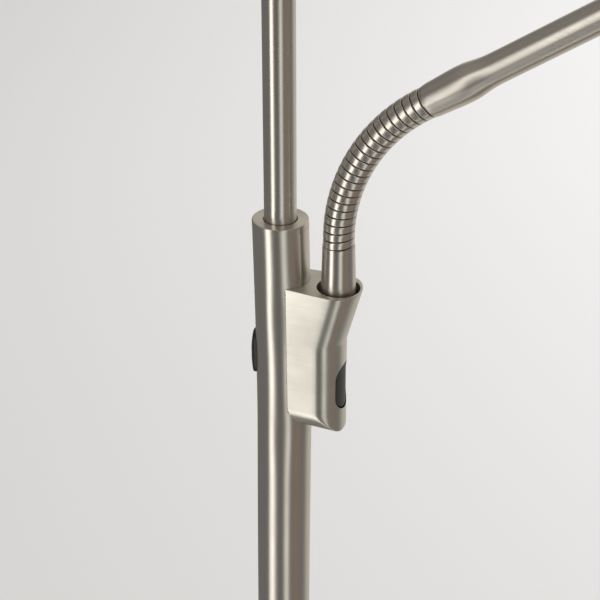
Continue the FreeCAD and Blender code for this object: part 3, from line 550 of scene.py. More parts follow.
@dataclass(frozen=True)
class RoundWall:
    """A piece of upright round wall.

    Attributes:
        radius: the wall's radius.
        centre_x: where its axis stands.
        side: +1 where it faces +X, -1 where it faces -X.
    """

    radius: float
    centre_x: float = 0.0
    side: int = -1

    def at(self, turn: Array, height: Array) -> Array:
        """Points at angles from the way it faces: x = centre + side r cos a, y = side r sin a."""
        reach = self.side * self.radius
        return stack(self.centre_x + reach * np.cos(turn), reach * np.sin(turn), height)

    def drawn(self, pill: Pill, ring: Array, down: float = 0.0, sunk: float = 0.0) -> Array:
        """A loop drawn flat round a pill's centre and moved onto the wall straight along X.

        Args:
            pill: the pill.
            ring: the loop's level and upright distances from its centre.
            down: how far the loop is moved in along X.
            sunk: how much smaller the wall's radius is taken.

        Returns:
            Points at x = centre + side sqrt((r - sunk)^2 - y^2) - side down.
        """
        reach = np.sqrt(np.maximum((self.radius - sunk) ** 2 - ring[:, 0] ** 2, 0.0))
        x = self.centre_x + self.side * reach - self.side * down
        return stack(x, self.side * ring[:, 0], pill.middle + ring[:, 1])

    def band(self, turns: Array, heights: Array) -> Patch:
        """The wall between two angles and two heights, on a plain grid."""
        height, turn = grid(heights, turns)
        return Patch(self.at(turn, height), stack(height, turn * self.radius))

    def pierced(self, pill: Pill, turns: Array, heights: Array, rings: int = 7) -> tuple[Patch, Array]:
        """A rectangle of the wall with a pill-shaped opening in it.

        Loops run from the opening's outline to the rectangle's edge, closer together near the opening.

        Args:
            pill: the opening.
            turns: angles of the columns that meet the rectangle's level edges.
            heights: heights of the rows that meet its upright edges.
            rings: number of loops.

        Returns:
            The patch, and the directions in radians of the opening's points.
        """
        level, rise = self.radius * np.sin(turns), heights - pill.middle
        edge = np.concatenate([stack(level[-1], rise[:-1]), stack(level[:0:-1], rise[-1]),
                               stack(level[0], rise[:0:-1]), stack(level, rise[0])])
        directions = np.arctan2(edge[:, 1], edge[:, 0])
        inner = pill.ring(directions)
        share = (np.linspace(0, 1, rings + 1) ** 1.6)[:, None]
        start, end = (np.arcsin(np.clip(loop[:, 0] / self.radius, -1, 1)) for loop in (inner, edge))
        turn = start + (end - start) * share
        height = pill.middle + inner[:, 1] + (edge[:, 1] - inner[:, 1]) * share
        return Patch(self.at(turn, height), stack(height, turn * self.radius)).flipped(), directions

    def reveal(self, pill: Pill, directions: Array, depth: float, rounding: float,
               finish: int = 0) -> Patch:
        """The opening's own wall: a rounded edge and then straight in along X.

        Args:
            pill: the opening as it shows on the wall, rounding included.
            directions: the directions of its points.
            depth: how far the wall goes in.
            rounding: radius of its edge.
            finish: index of the finish.

        Returns:
            The patch.
        """
        turns = fan(0, 90, 5)
        sunk = np.append(rounding * (1 - np.cos(turns)), depth)
        shrink = np.append(rounding * np.sin(turns), rounding)
        loops = [self.drawn(pill, pill.ring(directions, -narrow), down)
                 for down, narrow in zip(sunk, shrink)]
        return Patch(np.stack(loops), stack(*grid(sunk + shrink, np.arange(len(directions)))), finish)

    def key_cap(self, pill: Pill, sunk: float, depth: float, edge: float, dome: float = 0.0) -> Patch:
        """A push button's cap: a face wrapped on the wall, a rounded edge and a side that goes in.

        Args:
            pill: the cap's outline.
            sunk: how far the face lies below the wall, or above it where negative.
            depth: the side's length.
            edge: radius of the face's rounded edge.
            dome: how far the face falls from its middle to its rim.

        Returns:
            The patch.
        """
        directions = np.linspace(0, 2 * math.pi, 97)
        rim = pill.ring(directions, -edge)
        loops = [self.drawn(pill, rim * t, 0.0, sunk + dome * t ** 2) for t in np.linspace(0, 1, 13)]
        sunk += dome
        for turn in fan(15, 90, 6):
            ring = pill.ring(directions, -edge * (1 - math.sin(turn)))
            loops.append(self.drawn(pill, ring, edge * (1 - math.cos(turn)), sunk))
        loops.append(self.drawn(pill, pill.ring(directions), depth, sunk))
        uv = stack(*grid(np.arange(len(loops)), directions * pill.half_height))
        return Patch(np.stack(loops), uv).flipped()


# ---- poles
@dataclass(frozen=True)
class Poles:
    """The thick pole in two lengths, its flat top plug, and the thin pole that rises from it.

    The heat of the weld on the switch housing has drawn the thick pole's axis a little towards +X, as
    its outline and the bend in its highlight show. The drift grows to drift mm at drift_full mm below
    the top, and from drift_back mm it fades again. The weld has also left shallow dents beside it.
    """

    radius: float = 14.0
    wall: float = 1.5
    foot: float = 24.0
    joint: float = 600.0
    joint_edge: float = 0.3
    top: float = 1180.0
    plug: float = 3.0
    chamfer: float = 0.5
    mouth: float = 8.5
    mouth_edge: float = 0.2
    mouth_depth: float = 2.0
    thin_radius: float = 8.0
    thin_low: float = 1150.0
    thin_top: float = 1751.0
    drift: float = 1.42
    drift_full: float = 105.0
    drift_back: float = 112.0
    drift_fade: float = 180.0
    dent: float = 0.3
    dent_downs: tuple[float, float] = (49.0, 116.0)
    dent_turn: float = 75.0
    dent_size: tuple[float, float] = (15.0, 12.0)
    key: Pill = Pill(7.5, 12.3, 1104.0)
    key_gap: float = 0.35
    key_proud: float = 1.7
    key_dome: float = 1.1
    key_side: float = 4.5
    key_edge: float = 0.7
    key_rounding: float = 0.2
    key_wall: float = 2.5
    window: float = 52.0
    window_margin: float = 2.5
    run: float = 20.0

    def lean(self, height: Array) -> Array:
        """How far the axis has drifted along +X: a quarter of a sine wave out and another one back.

        Args:
            height: heights over the floor.

        Returns:
            The drift at each height.
        """
        down = self.top - height
        out = np.sin(np.clip(down / self.drift_full, 0, 1) * math.pi / 2)
        back = np.sin(np.clip((down - self.drift_back) / self.drift_fade, 0, 1) * math.pi / 2)
        return self.drift * out * (1 - back)

    def leaned(self, patch: Patch) -> Patch:
        """Shifts a patch's points by the axis's drift at their height and sinks the weld's dents.

        A dent's depth is dent exp(-(a - dent_turn)^2 / 2 A^2 - (d - down)^2 / 2 D^2), with a the angle
        from +X and d the distance below the top.

        Args:
            patch: a patch of the straight, round pole.

        Returns:
            The shifted and dented patch.
        """
        x, y, z = np.moveaxis(patch.points, -1, 0)
        wide, high = self.dent_size
        off = (np.degrees(np.abs(np.arctan2(y, x))) - self.dent_turn) / wide
        sunk = sum(np.exp(-0.5 * (off ** 2 + ((self.top - z - down) / high) ** 2))
                   for down in self.dent_downs)
        shrink = 1 - self.dent * sunk / np.maximum(np.hypot(x, y), 1.0)
        return replace(patch, points=stack(x * shrink + self.lean(z), y * shrink, z))

    def build(self, finishes: Looks) -> None:
        """Makes both lengths, the plug, the thin pole and the push button that stands proud at the back.

        Args:
            finishes: the materials by use.
        """
        radius, bore, top = self.radius, self.radius - self.wall, self.top
        small, lip = self.joint_edge, self.mouth_edge
        lower = outline((bore, self.foot), (radius, self.foot), (radius, self.joint - small),
                        (radius - small, self.joint), (bore, self.joint))
        turn_piece("pole_lower", divided(lower, self.run), finishes["pole"], "pole_lower_section")
        make_piece("pole_upper", [self.leaned(p) for p in self.upper()], [finishes["pole"]],
                   ["pole_upper_section"])
        plug = outline((radius, top - self.plug),
                       arc((radius - self.chamfer, top - self.chamfer), self.chamfer, 0, 90, 4),
                       (self.mouth + lip, top), (self.mouth, top - lip),
                       (self.mouth, top - self.mouth_depth), (self.thin_radius, top - self.mouth_depth))
        turn_piece("pole_top_plug_ring", divided(plug, 1.0), finishes["turned"], "pole_top_plug")
        thin = outline((self.thin_radius, self.thin_low), (self.thin_radius, self.thin_top))
        turn_piece("thin_pole", divided(thin, self.run), finishes["thin_pole"], "upper_pole", 96,
                   edge=Edge.SOFT)
        cap = RoundWall(radius).key_cap(self.key, -self.key_proud, self.key_side, self.key_edge,
                                        self.key_dome)
        make_piece("rear_push_button", [cap], [finishes["rear_key"]], ["rear_button"], "rear_button",
                   Edge.SOFT)

    def upper(self) -> list[Patch]:
        """The upper length, with the rear button's opening in its -X side.

        Returns:
            The patches of its wall, its foot and the opening.
        """
        wall, small = RoundWall(self.radius), self.joint_edge
        hole = self.key.grown(self.key_gap + self.key_rounding)
        reach = hole.half_height + self.window_margin
        near, rest = fan(-self.window, self.window, 33), fan(self.window, 360 - self.window, 81)
        turns = np.append(near, rest[1:])
        middle = np.linspace(hole.middle - reach, hole.middle + reach, 25)
        lows = np.append(np.linspace(self.joint + small, middle[0] - 2 * self.window_margin, 84),
                         middle[0])
        highs = np.linspace(middle[-1], self.top - self.plug, 16)
        patch, directions = wall.pierced(hole, near, middle)
        foot = Patch(np.stack([RoundWall(self.radius - small).at(turns, self.joint),
                               wall.at(turns, self.joint + small)]),
                     stack(*grid(np.array([0.0, small]), turns * self.radius)))
        return [foot, wall.band(turns, lows), wall.band(turns, highs), wall.band(rest, middle), patch,
                wall.reveal(hole, directions, self.key_wall, self.key_rounding)]


# ---- switch housing
# The third look, for the wall of the front key's opening, is a dark brown metal: painted shade in the gap
# round the key.
HOUSING_LOOKS = ("housing", "housing_top", "cut_edge_shade")
TOP_FACE, CUT_EDGE_SHADE = 1, 2


@dataclass(frozen=True)
class SwitchHousing:
    """The flat-sided housing that is welded to the thick pole, with a rounded nose and bottom.

    The nose is an upright surface with a front radius and tighter shoulders, and it leans out and
    widens above a kink. The bottom is a level half-round. They meet in a rounded crease. The housing
    carries the gooseneck's socket in its top and a push button in its nose.
    """

    poles: Poles
    pole_radius: float = 14.1
    half_width: float = 13.1
    pole_half: float = 12.6
    widen: float = 1.1
    front: float = 15.0
    shoulder: float = 10.5
    fall: tuple[float, float] = (0.05, 0.03)
    top: float = 1148.0
    kink: float = 1118.0
    kink_round: float = 1.5
    low: float = 1067.0
    crease: float = 2.0
    top_round: float = 0.5
    nose_top: float = 26.3
    nose_low: float = 19.2
    socket_x: float = 30.3
    socket_radius: float = 10.75
    socket_wall: float = 1.3
    socket_floor: float = 1137.8
    socket_edge: float = 0.35
    key: Pill = Pill(7.2, 12.3, 1092.6)
    key_gap: float = 0.5
    key_sunk: float = 0.4
    key_side: float = 2.8
    key_edge: float = 0.5
    key_wall: float = 3.0
    key_rounding: float = 0.2
    window: float = 33.5
    window_margin: float = 0.25
    bead: tuple[float, float, float] = (0.02, 0.11, 0.17)
    bead_fade: float = 7.0
    bead_sunk: float = 0.03

    @property
    def round_axis(self) -> float:
        """Height of the bottom's level axis."""
        return self.low + self.half_width

    def over(self, heights: Array) -> Array:
        """Share of the way from the kink up to the top."""
        return np.clip((heights - self.kink) / (self.top - self.kink), 0.0, 1.0)

    def under(self, heights: Array) -> Array:
        """Share of the way from the bottom's axis down to the bottom."""
        return np.clip((self.round_axis - heights) / self.half_width, 0.0, 1.0)

    def nose(self, height: Array) -> Array:
        """The nose's centre at a height: level below the kink, sloping out above it, eased between.

        Args:
            height: heights over the floor.

        Returns:
            How far out the front radius's centre stands.
        """
        slope = (self.nose_top - self.nose_low) / (self.top - self.kink)
        above = height - self.kink
        eased = (above + self.kink_round) ** 2 / (4 * self.kink_round)
        rise = np.where(above < -self.kink_round, 0.0, np.where(above > self.kink_round, above, eased))
        return self.nose_low + slope * rise

    def section(self, heights: Array) -> tuple[Array, ...]:
        """The level section's measures at each height.

        Below the bottom's axis the half width is sqrt(R^2 - d^2), where the shoulders tighten to the
        crease, and over the last of the way down the nose draws in by a quarter round. The top's
        rounded edge draws everything in.

        Args:
            heights: the rows' heights.

        Returns:
            Half width, front radius, shoulder radius, half width at the pole, and where the sides leave
            it, each (rows, 1).
        """
        lip = np.clip(heights - (self.top - self.top_round), 0.0, self.top_round)
        inset = self.top_round - np.sqrt(self.top_round ** 2 - lip ** 2)
        grow = self.widen * self.over(heights)
        depth = np.clip(self.round_axis - heights, 0.0, self.half_width)
        plain = np.sqrt(self.half_width ** 2 - depth ** 2)
        left = np.clip(self.crease - (heights - self.low), 0.0, self.crease)
        reach = self.front + grow - inset - self.crease + np.sqrt(self.crease ** 2 - left ** 2)
        full = np.clip(5 * plain / self.half_width - 4, 0.0, 1.0) ** 1.5
        half = plain + grow - inset
        small = np.minimum(self.crease + (self.shoulder - self.crease) * full - inset, half)
        at_pole = (plain - inset) * self.pole_half / self.half_width
        back = self.poles.lean(heights) + np.sqrt(self.pole_radius ** 2 - at_pole ** 2)
        return tuple(measure[:, None] for measure in (half, reach, small, at_pole, back))

    def fallen(self, patch: Patch) -> Patch:
        """Lowers a patch towards the nose: z -= fall (x - pole radius), for the bottom and for the top.

        Args:
            patch: a patch with a level top or bottom.

        Returns:
            The lowered patch.
        """
        points, (low, high) = patch.points.copy(), self.fall
        fall = low * self.under(points[..., 2]) + high * self.over(points[..., 2])
        points[..., 2] -= fall * (points[..., 0] - self.pole_radius)
        return replace(patch, points=points)

    def shell(self, heights: Array, turns: Array, side: Array) -> Patch:
        """Points round the housing: out along -Y, round the nose, back along +Y.

        A nose column keeps its direction, on the front's arc up to a limit and then on the shoulder's.

        Args:
            heights: the rows' heights.
            turns: the nose's column directions.
            side: shares of the way from the pole to the nose on the -Y side first, negative on +Y.

        Returns:
            The patch.
        """
        half, reach, small, at_pole, back = self.section(heights)
        limit = np.arcsin(np.clip((half - small) / (reach - small), 0.0, 1.0))
        turn = np.broadcast_to(turns[None], (len(heights), len(turns)))
        corner = (reach - small) * np.cos(limit)
        on_nose = np.abs(turn) <= limit
        nose = self.nose(heights)[:, None]
        nose_x = nose + np.where(on_nose, reach * np.cos(turn), corner + small * np.cos(turn))
        nose_y = np.where(on_nose, reach * np.sin(turn),
                          np.sign(turn) * (half - small + small * np.sin(np.abs(turn))))
        near, far = side[side >= 0][None], -side[side < 0][None]
        run = nose + corner - back
        x = np.concatenate([back + run * near, nose_x, back + run * (1 - far)], axis=1)
        spread = half - at_pole
        y = np.concatenate([-at_pole - spread * near, nose_y, half - spread * far], axis=1)
        level = lengths(stack(x[-1], y[-1]))
        return Patch(stack(x, y, heights[:, None]), stack(self.brush(heights), level))

    def brush(self, heights: Array) -> Array:
        """Distance across the brushing, (rows, 1): the height, or the arc's length on the bottom."""
        under = self.under(heights)
        return np.where(under > 0, self.round_axis - self.half_width * np.arcsin(under), heights)[:, None]

    def build(self, finishes: Looks) -> None:
        """Makes the housing and its push button.

        Args:
            finishes: the materials by use.
        """
        near = np.linspace(0, 1, 9)[:-1]
        far = -np.linspace(0, 1, 9)[1:]
        sides, half = np.append(near, far), math.radians(self.window)
        front = np.linspace(-half, half, 29)
        left, right = np.linspace(-math.pi / 2, -half, 17), np.linspace(half, math.pi / 2, 17)
        whole = np.concatenate([left[:-1], front, right[1:]])
        wall = RoundWall(self.front, self.nose_low, 1)
        hole = self.key.grown(self.key_gap + self.key_rounding)
        reach = hole.half_height + self.window_margin
        start = math.asin((self.round_axis - self.key.middle + reach) / self.half_width)
        low = self.round_axis - self.half_width * np.sin(np.linspace(math.pi / 2, start, 31))
        middle = np.linspace(self.key.middle - reach, self.key.middle + reach, 25)
        kink = np.linspace(self.kink - self.kink_round, self.kink + self.kink_round, 9)
        rim = self.top - self.top_round
        high = np.concatenate([np.linspace(middle[-1], kink[0], 5)[:-1], kink,
                               np.linspace(kink[-1], rim, 12)[1:],
                               rim + self.top_round * np.sin(fan(0, 90, 9))[1:]])
        opened, directions = wall.pierced(hole, front, middle, 6)
        crown = self.shell(high, whole, sides)
        saddle = self.saddle(np.concatenate([low, middle[1:], high[1:]]))
        parts = [self.shell(low, whole, sides), crown, self.shell(middle, left, near),
                 self.shell(middle, right, far), opened,
                 # The opening's wall takes the dark brown metal: painted shade in the gap round the key.
                 wall.reveal(hole, directions, self.key_wall, self.key_rounding, CUT_EDGE_SHADE),
                 saddle, *self.deck(crown, saddle)]
        make_piece("switch_housing_shell", [self.fallen(part) for part in parts],
                   [finishes[look] for look in HOUSING_LOOKS], ["switch_housing"])
        cap = wall.key_cap(self.key, self.key_sunk, self.key_side, self.key_edge)
        make_piece("front_push_button", [cap], [finishes["front_key"]], ["front_button"], "front_button",
                   Edge.SOFT)
        make_piece("housing_weld_beads", [self.seam(side) for side in (-1, 1)], [finishes["weld"]],
                   edge=Edge.SOFT)

    def saddle(self, rows: Array) -> Patch:
        """The housing's back, which wraps the pole: x = lean + r cos a, y = r sin a between its sides.

        Args:
            rows: the rows' heights.

        Returns:
            The patch.
        """
        turn = np.arcsin(self.section(rows)[3] / self.pole_radius) * np.linspace(1, -1, 25)[None]
        lean = self.poles.lean(rows)[:, None]
        x, y = lean + self.pole_radius * np.cos(turn), self.pole_radius * np.sin(turn)
        return Patch(stack(x, y, rows[:, None]), stack(self.brush(rows), turn * self.pole_radius))

    def deck(self, crown: Patch, saddle: Patch) -> list[Patch]:
        """The flat top and the socket in it, whose front wall leans with the nose.

        Args:
            crown: the sides above the button, which end at the top.
            saddle: the back.

        Returns:
            The top's patch and the socket's.
        """
        top = np.concatenate([crown.points[-1, :, :2], saddle.points[-1, 1:, :2]])
        centre, edge, wide = np.array([self.socket_x, 0.0]), self.socket_edge, self.socket_radius
        away = np.arctan2(top[:, 1], top[:, 0] - self.socket_x)
        way = stack(np.cos(away), np.sin(away))
        rim = centre + (wide + edge) * way
        flat = rim + (top - rim) * np.linspace(0, 1, 7)[:, None, None]
        loops = [stack(*(centre + (wide + edge - edge * math.sin(turn)) * way).T,
                       self.top - edge * (1 - math.cos(turn))) for turn in fan(0, 90, 5)]
        for height in np.linspace(self.top - edge, self.socket_floor, 9)[1:]:
            behind = self.socket_x - self.nose(height)
            limit = self.section(np.array([height]))[1][0] - self.socket_wall
            front = np.sqrt(limit ** 2 - (behind * way[:, 1]) ** 2) - behind * way[:, 0]
            loops.append(stack(*(centre + np.minimum(wide, front)[:, None] * way).T, height))
        return [Patch(stack(flat[..., 0], flat[..., 1], self.top), flat, TOP_FACE).flipped(),
                Patch(np.stack(loops), stack(*grid(np.arange(len(loops)), away * wide)))]

    def seam(self, side: int) -> Patch:
        """The weld's seam in the corner between one of the housing's sides and the pole.

        It is a string of small lumps, r = least + (size + growth e^(-d / fade)) (1 + ripple), with d the
        distance to the nearer end and the ripple two sine waves of 2.2 and 1.3 mm.

        Args:
            side: -1 for the side at -Y, 1 for the other.

        Returns:
            The patch.
        """
        heights = np.linspace(self.round_axis - 3.0, self.top - 1.0, 620)
        ripple = 0.55 * np.sin(heights * 2.9 + side) + 0.45 * np.sin(heights * 4.7 + 2 * side)
        near = np.exp(-np.minimum(heights - heights[0], heights[-1] - heights) / self.bead_fade)
        least, size, growth = self.bead
        radius = (size + growth * near) * (1 + ripple) + least
        radius[[0, -1]] = 0.0
        radius = radius[:, None]
        at_pole, back = self.section(heights)[3:]
        height, turn = grid(heights, np.linspace(-math.pi, math.pi, 13))
        x, y = back + radius * np.cos(turn), side * (at_pole + self.bead_sunk) + radius * np.sin(turn)
        return Patch(stack(x, y, height), stack(turn, height))


# ---- gooseneck
@dataclass(frozen=True)
class Neck:
    """The gooseneck: a ferrule that turns in the housing's socket, and a wound tube that bends.

    The winding is one right-handed helix. It is made as eleven sleeves that meet at the frame's ten
    hinges and share their end loops at rest, and a collar under each meeting closes it when it bends.

    Attributes:
        centre_x: where the socket's axis stands.
        foot: height at which the bend starts.
        bend: the bend's angle in degrees, in equal shares for the hinges.
        half_link: half the straight distance between two hinges.
        pitch: the winding's pitch.
        phase: where along the middle line a groove crosses the inner side of the bend.
        over: length of the winding past the bend's end.
    """

    centre_x: float = 30.3
    foot: float = 1174.5
    bend: float = 56.6
    hinges: int = 10
    half_link: float = 4.42
    radius: float = 7.7
    pitch: float = 4.3038
    phase: float = 1.768
    groove: float = 0.55
    depth: float = 0.55
    edge: float = 0.4
    flank: float = 0.08
    crown: float = 0.04
    mouth: float = -6.5
    over: float = 3.5
    collar_radius: float = 6.8
    collar_half: float = 2.0
    ferrule: tuple[float, float] = (1142.1, 1171.0)
    ferrule_radii: tuple[float, float] = (8.75, 8.0)
    ferrule_edge: float = 1.0
    ferrule_bore: float = 6.0
    ferrule_lip: float = 0.35
    ferrule_gap: float = 0.12
    ferrule_depth: float = 3.2

    @property
    def arc_radius(self) -> float:
        """Radius of the circle that touches the middle of each straight link."""
        return self.half_link / math.tan(math.radians(self.bend) / self.hinges / 2)

    @property
    def length(self) -> float:
        """Length of the bend along its middle line."""
        return self.arc_radius * math.radians(self.bend)

    def line(self, along: Array) -> tuple[Array, Array, Array]:
        """The middle line: straight, then an arc about (x + R, foot), then straight again.

        Args:
            along: distances from the bend's foot.

        Returns:
            Points, directions and outward normals, each (..., 3).
        """
        inside, bow = np.clip(along, 0.0, self.length), self.arc_radius
        angle = inside / bow
        sin, cos = np.sin(angle), np.cos(angle)
        ahead, across = stack(sin, 0.0, cos), stack(cos, 0.0, -sin)
        centre = stack(self.centre_x + bow * (1 - cos), 0.0, self.foot + bow * sin)
        return centre + ahead * (along - inside)[..., None], ahead, across

    def rise(self, along: Array, turn: Array) -> Array:
        """The winding's radius: a crowned band between round-edged grooves.

        With d the distance from the nearest groove, the floor lies within half a groove's width, the
        edge follows a quarter circle, and the band is crowned by 1 - x^2.

        Args:
            along: distances along the middle line.
            turn: angles round it from the outer side of the bend.

        Returns:
            The radius at each point.
        """
        phase = (along - self.phase) / self.pitch - turn / (2 * math.pi)
        off = np.abs(phase - np.round(phase)) * self.pitch
        half, middle = self.groove / 2, self.pitch / 2
        floor, lip = self.radius - self.depth, self.radius - self.edge
        wall = floor + (lip - floor) * np.clip((off - half + self.flank) / self.flank, 0, 1)
        into = np.clip(off - half, 0, self.edge)
        corner = lip + np.sqrt(np.maximum(self.edge ** 2 - (self.edge - into) ** 2, 0.0))
        over = (middle - off) / (middle - half - self.edge)
        band = self.radius + self.crown * (1 - over ** 2)
        return np.where(off < half, wall, np.where(off < half + self.edge, corner, band))

    def around(self, along: Array, turn: Array, radius: Array) -> tuple[Array, Array]:
        """Points centre + r n about the middle line, and their n = cos t N + sin t Y.

        Args:
            along: distances along the middle line.
            turn: angles round it.
            radius: distances from it.

        Returns:
            The points and the directions.
        """
        centre, _, across = self.line(along)
        out = np.cos(turn)[..., None] * across + np.sin(turn)[..., None] * np.array([0.0, 1.0, 0.0])
        return centre + radius * out, out

    def surface(self, along: Array, turn: Array) -> Array:
        """Points of the winding."""
        return self.around(along, turn, self.rise(along, turn)[..., None])[0]

    def sleeve(self, start: float, end: float, columns: int = 96) -> Patch:
        """One sleeve of the winding, with rows that follow the helix and close up at its two ends.

        Args:
            start: where it starts along the middle line.
            end: where it ends.
            columns: number of steps round it.

        Returns:
            The patch, with normals from the surface's own slopes.
        """
        half, edge, tiny = self.groove / 2, self.edge, 0.01
        bend = edge * (1 - np.cos(np.radians([0, 22, 45, 68, 90])))
        rows = np.concatenate([[0.0, half - self.flank], half + bend,
                               np.linspace(half + edge, self.pitch / 2, 6)[1:]]) / self.pitch
        first, last = (round_to((place - self.phase) / self.pitch) + more
                       for place, round_to, more in ((start, math.floor, -1), (end, math.ceil, 2)))
        rungs = (np.arange(first, last)[:, None] + np.concatenate([rows, 1 - rows[-2:0:-1]])).ravel()
        share, turn = grid(rungs, np.linspace(0, 2 * math.pi, columns + 1))
        along = np.clip(self.phase + self.pitch * (share + turn / (2 * math.pi)), start, end)
        keep = (along.max(axis=1) > start) & (along.min(axis=1) < end)
        used = slice(max(np.argmax(keep) - 1, 0), len(keep) - np.argmax(keep[::-1]) + 1)
        along, turn, rungs = along[used], turn[used], rungs[used]
        slope = self.surface(along + tiny, turn) - self.surface(along - tiny, turn)
        round_it = self.surface(along, turn + tiny) - self.surface(along, turn - tiny)
        normals = np.cross(round_it, slope)
        normals /= np.linalg.norm(normals, axis=-1, keepdims=True)
        # The faces on the grooves' floors take finish 1, a dark brown metal: painted shade in the
        # grooves.
        sunk = np.abs(rungs - np.round(rungs)) * self.pitch <= half + 1e-6
        groove = np.broadcast_to((sunk[1:] & sunk[:-1])[:, None], (len(sunk) - 1, columns)).astype(int)
        return Patch(self.surface(along, turn), stack(along, turn * self.radius), groove, normals)

    def collar(self, middle: float) -> Patch:
        """A smooth tube under the winding, across a hinge, that closes the gap when the hinge bends.

        Args:
            middle: where the hinge lies along the middle line.

        Returns:
            The patch.
        """
        along, turn = grid(middle + np.linspace(-self.collar_half, self.collar_half, 5),
                           np.linspace(0, 2 * math.pi, 65))
        points, out = self.around(along, turn, self.collar_radius)
        # Finish 1 is the grooves' dark brown metal: painted shade on the collar under the winding.
        return Patch(points, stack(along, turn * self.radius), 1, out)

    def build(self, finishes: Looks) -> None:
        """Makes the ferrule and eleven sleeves of winding, one on each link and its two ends.

        Args:
            finishes: the materials by use.
        """
        (low, rim), (foot_r, rim_r), edge = self.ferrule, self.ferrule_radii, self.ferrule_edge
        small, mouth, tiny = self.ferrule_lip, self.radius + self.ferrule_gap, 0.1
        line = outline((self.ferrule_bore, low), arc((foot_r - edge, low + edge), edge, -90, 0),
                       (rim_r, rim - small),
                       arc((rim_r - small, rim - small), small, 0, 90, 4), (mouth + tiny, rim),
                       (mouth, rim - tiny), (mouth, rim - self.ferrule_depth))
        turn_piece("gooseneck_ferrule_cone", divided(line, 2.0), finishes["ferrule"], "gooseneck_ferrule",
                   at=Matrix.Translation((self.centre_x, 0.0, 0.0)), body="swivel")
        share, links = self.length / self.hinges, range(1, self.hinges)
        bodies = ["swivel", *(f"link_{k:02d}" for k in links), "arm"]
        nodes = [[], *([f"gooseneck_link_{k:02d}"] for k in links), ["gooseneck_end"]]
        ends = [self.mouth, *((k - 0.5) * share for k in (*links, self.hinges)), self.length + self.over]
        for k, (body, node) in enumerate(zip(bodies, nodes)):
            # The second finish, the grooves' dark brown metal, is painted shade in the grooves and on the
            # collars.
            collars = [self.collar(ends[k])] if k else []
            make_piece(f"gooseneck_turns_{k:02d}", [self.sleeve(ends[k], ends[k + 1]), *collars],
                       [finishes["winding"], finishes["groove"]], node, body)
        LOG.info("gooseneck: %.1f mm of winding, %.2f mm per link", self.length + self.over, share)

    def arm_frame(self) -> Matrix:
        """The arm's own axes: Z out along it from the bend's end, X the way the head shines."""
        centre, ahead, across = (axis[0] for axis in self.line(np.array([self.length])))
        return from_axes(across, (0.0, 1.0, 0.0), ahead, centre)


# ---- reading arm
@dataclass(frozen=True)
class Arm:
    """The straight arm past the gooseneck, with the bell at its foot that takes the winding's end.

    Attributes:
        rim: where the bell's rim lies past the bend's end.
        bell: distances along the arm and the radius there.
        end: the arm's far end.
    """

    rim: float = 3.5
    bell: tuple[tuple[float, float], ...] = (
        (0.0, 7.92), (1.5, 8.12), (6.5, 8.4), (11.5, 8.66), (16.5, 8.87), (20.0, 8.9), (23.0, 8.76),
        (26.0, 8.38), (29.0, 7.93), (32.0, 7.57), (35.0, 7.41), (39.5, 7.36), (46.5, 7.35))
    end: float = 270.0
    bore: float = 6.15
    rim_wall: float = 1.0
    rim_depth: float = 1.5
    rim_slope: float = 0.03
    small: float = 0.35
    end_edge: float = 0.3

    def profile(self, step: float = 0.8) -> Array:
        """Smooth outline through the bell's points: cubic pieces with slopes from their neighbours.

        Args:
            step: distance between its points.

        Returns:
            (n, 2) array of radii and distances along the arm.
        """
        x, y = np.array(self.bell).T
        slope = np.gradient(y, x)
        slope[[0, -1]] = (self.rim_slope, 0.0)
        along = np.arange(self.small, x[-1], step)
        i = np.clip(np.searchsorted(x, along, side="right") - 1, 0, len(x) - 2)
        span = x[i + 1] - x[i]
        t = (along - x[i]) / span
        radius = ((2 * t ** 3 - 3 * t ** 2 + 1) * y[i] + (t ** 3 - 2 * t ** 2 + t) * span * slope[i]
                  + (3 * t ** 2 - 2 * t ** 3) * y[i + 1] + (t ** 3 - t ** 2) * span * slope[i + 1])
        return stack(radius, along + self.rim)

    def build(self, finishes: Looks, at: Matrix) -> None:
        """Makes the arm in one turned piece.

        Args:
            finishes: the materials by use.
            at: the arm's own axes.
        """
        (_, rim_r), (bell_end, tube_r), inside = self.bell[0], self.bell[-1], self.bore + self.rim_wall
        line = outline((inside, self.rim + self.rim_depth), (inside, self.rim),
                       (rim_r - self.small, self.rim),
                       self.profile(),
                       stack(tube_r, np.linspace(self.rim + bell_end, self.end - self.end_edge, 40)),
                       (tube_r - self.end_edge, self.end), (self.bore, self.end))
        turn_piece("reading_arm_tube", line, finishes["arm"], "arm_tube", 144, at, "arm")


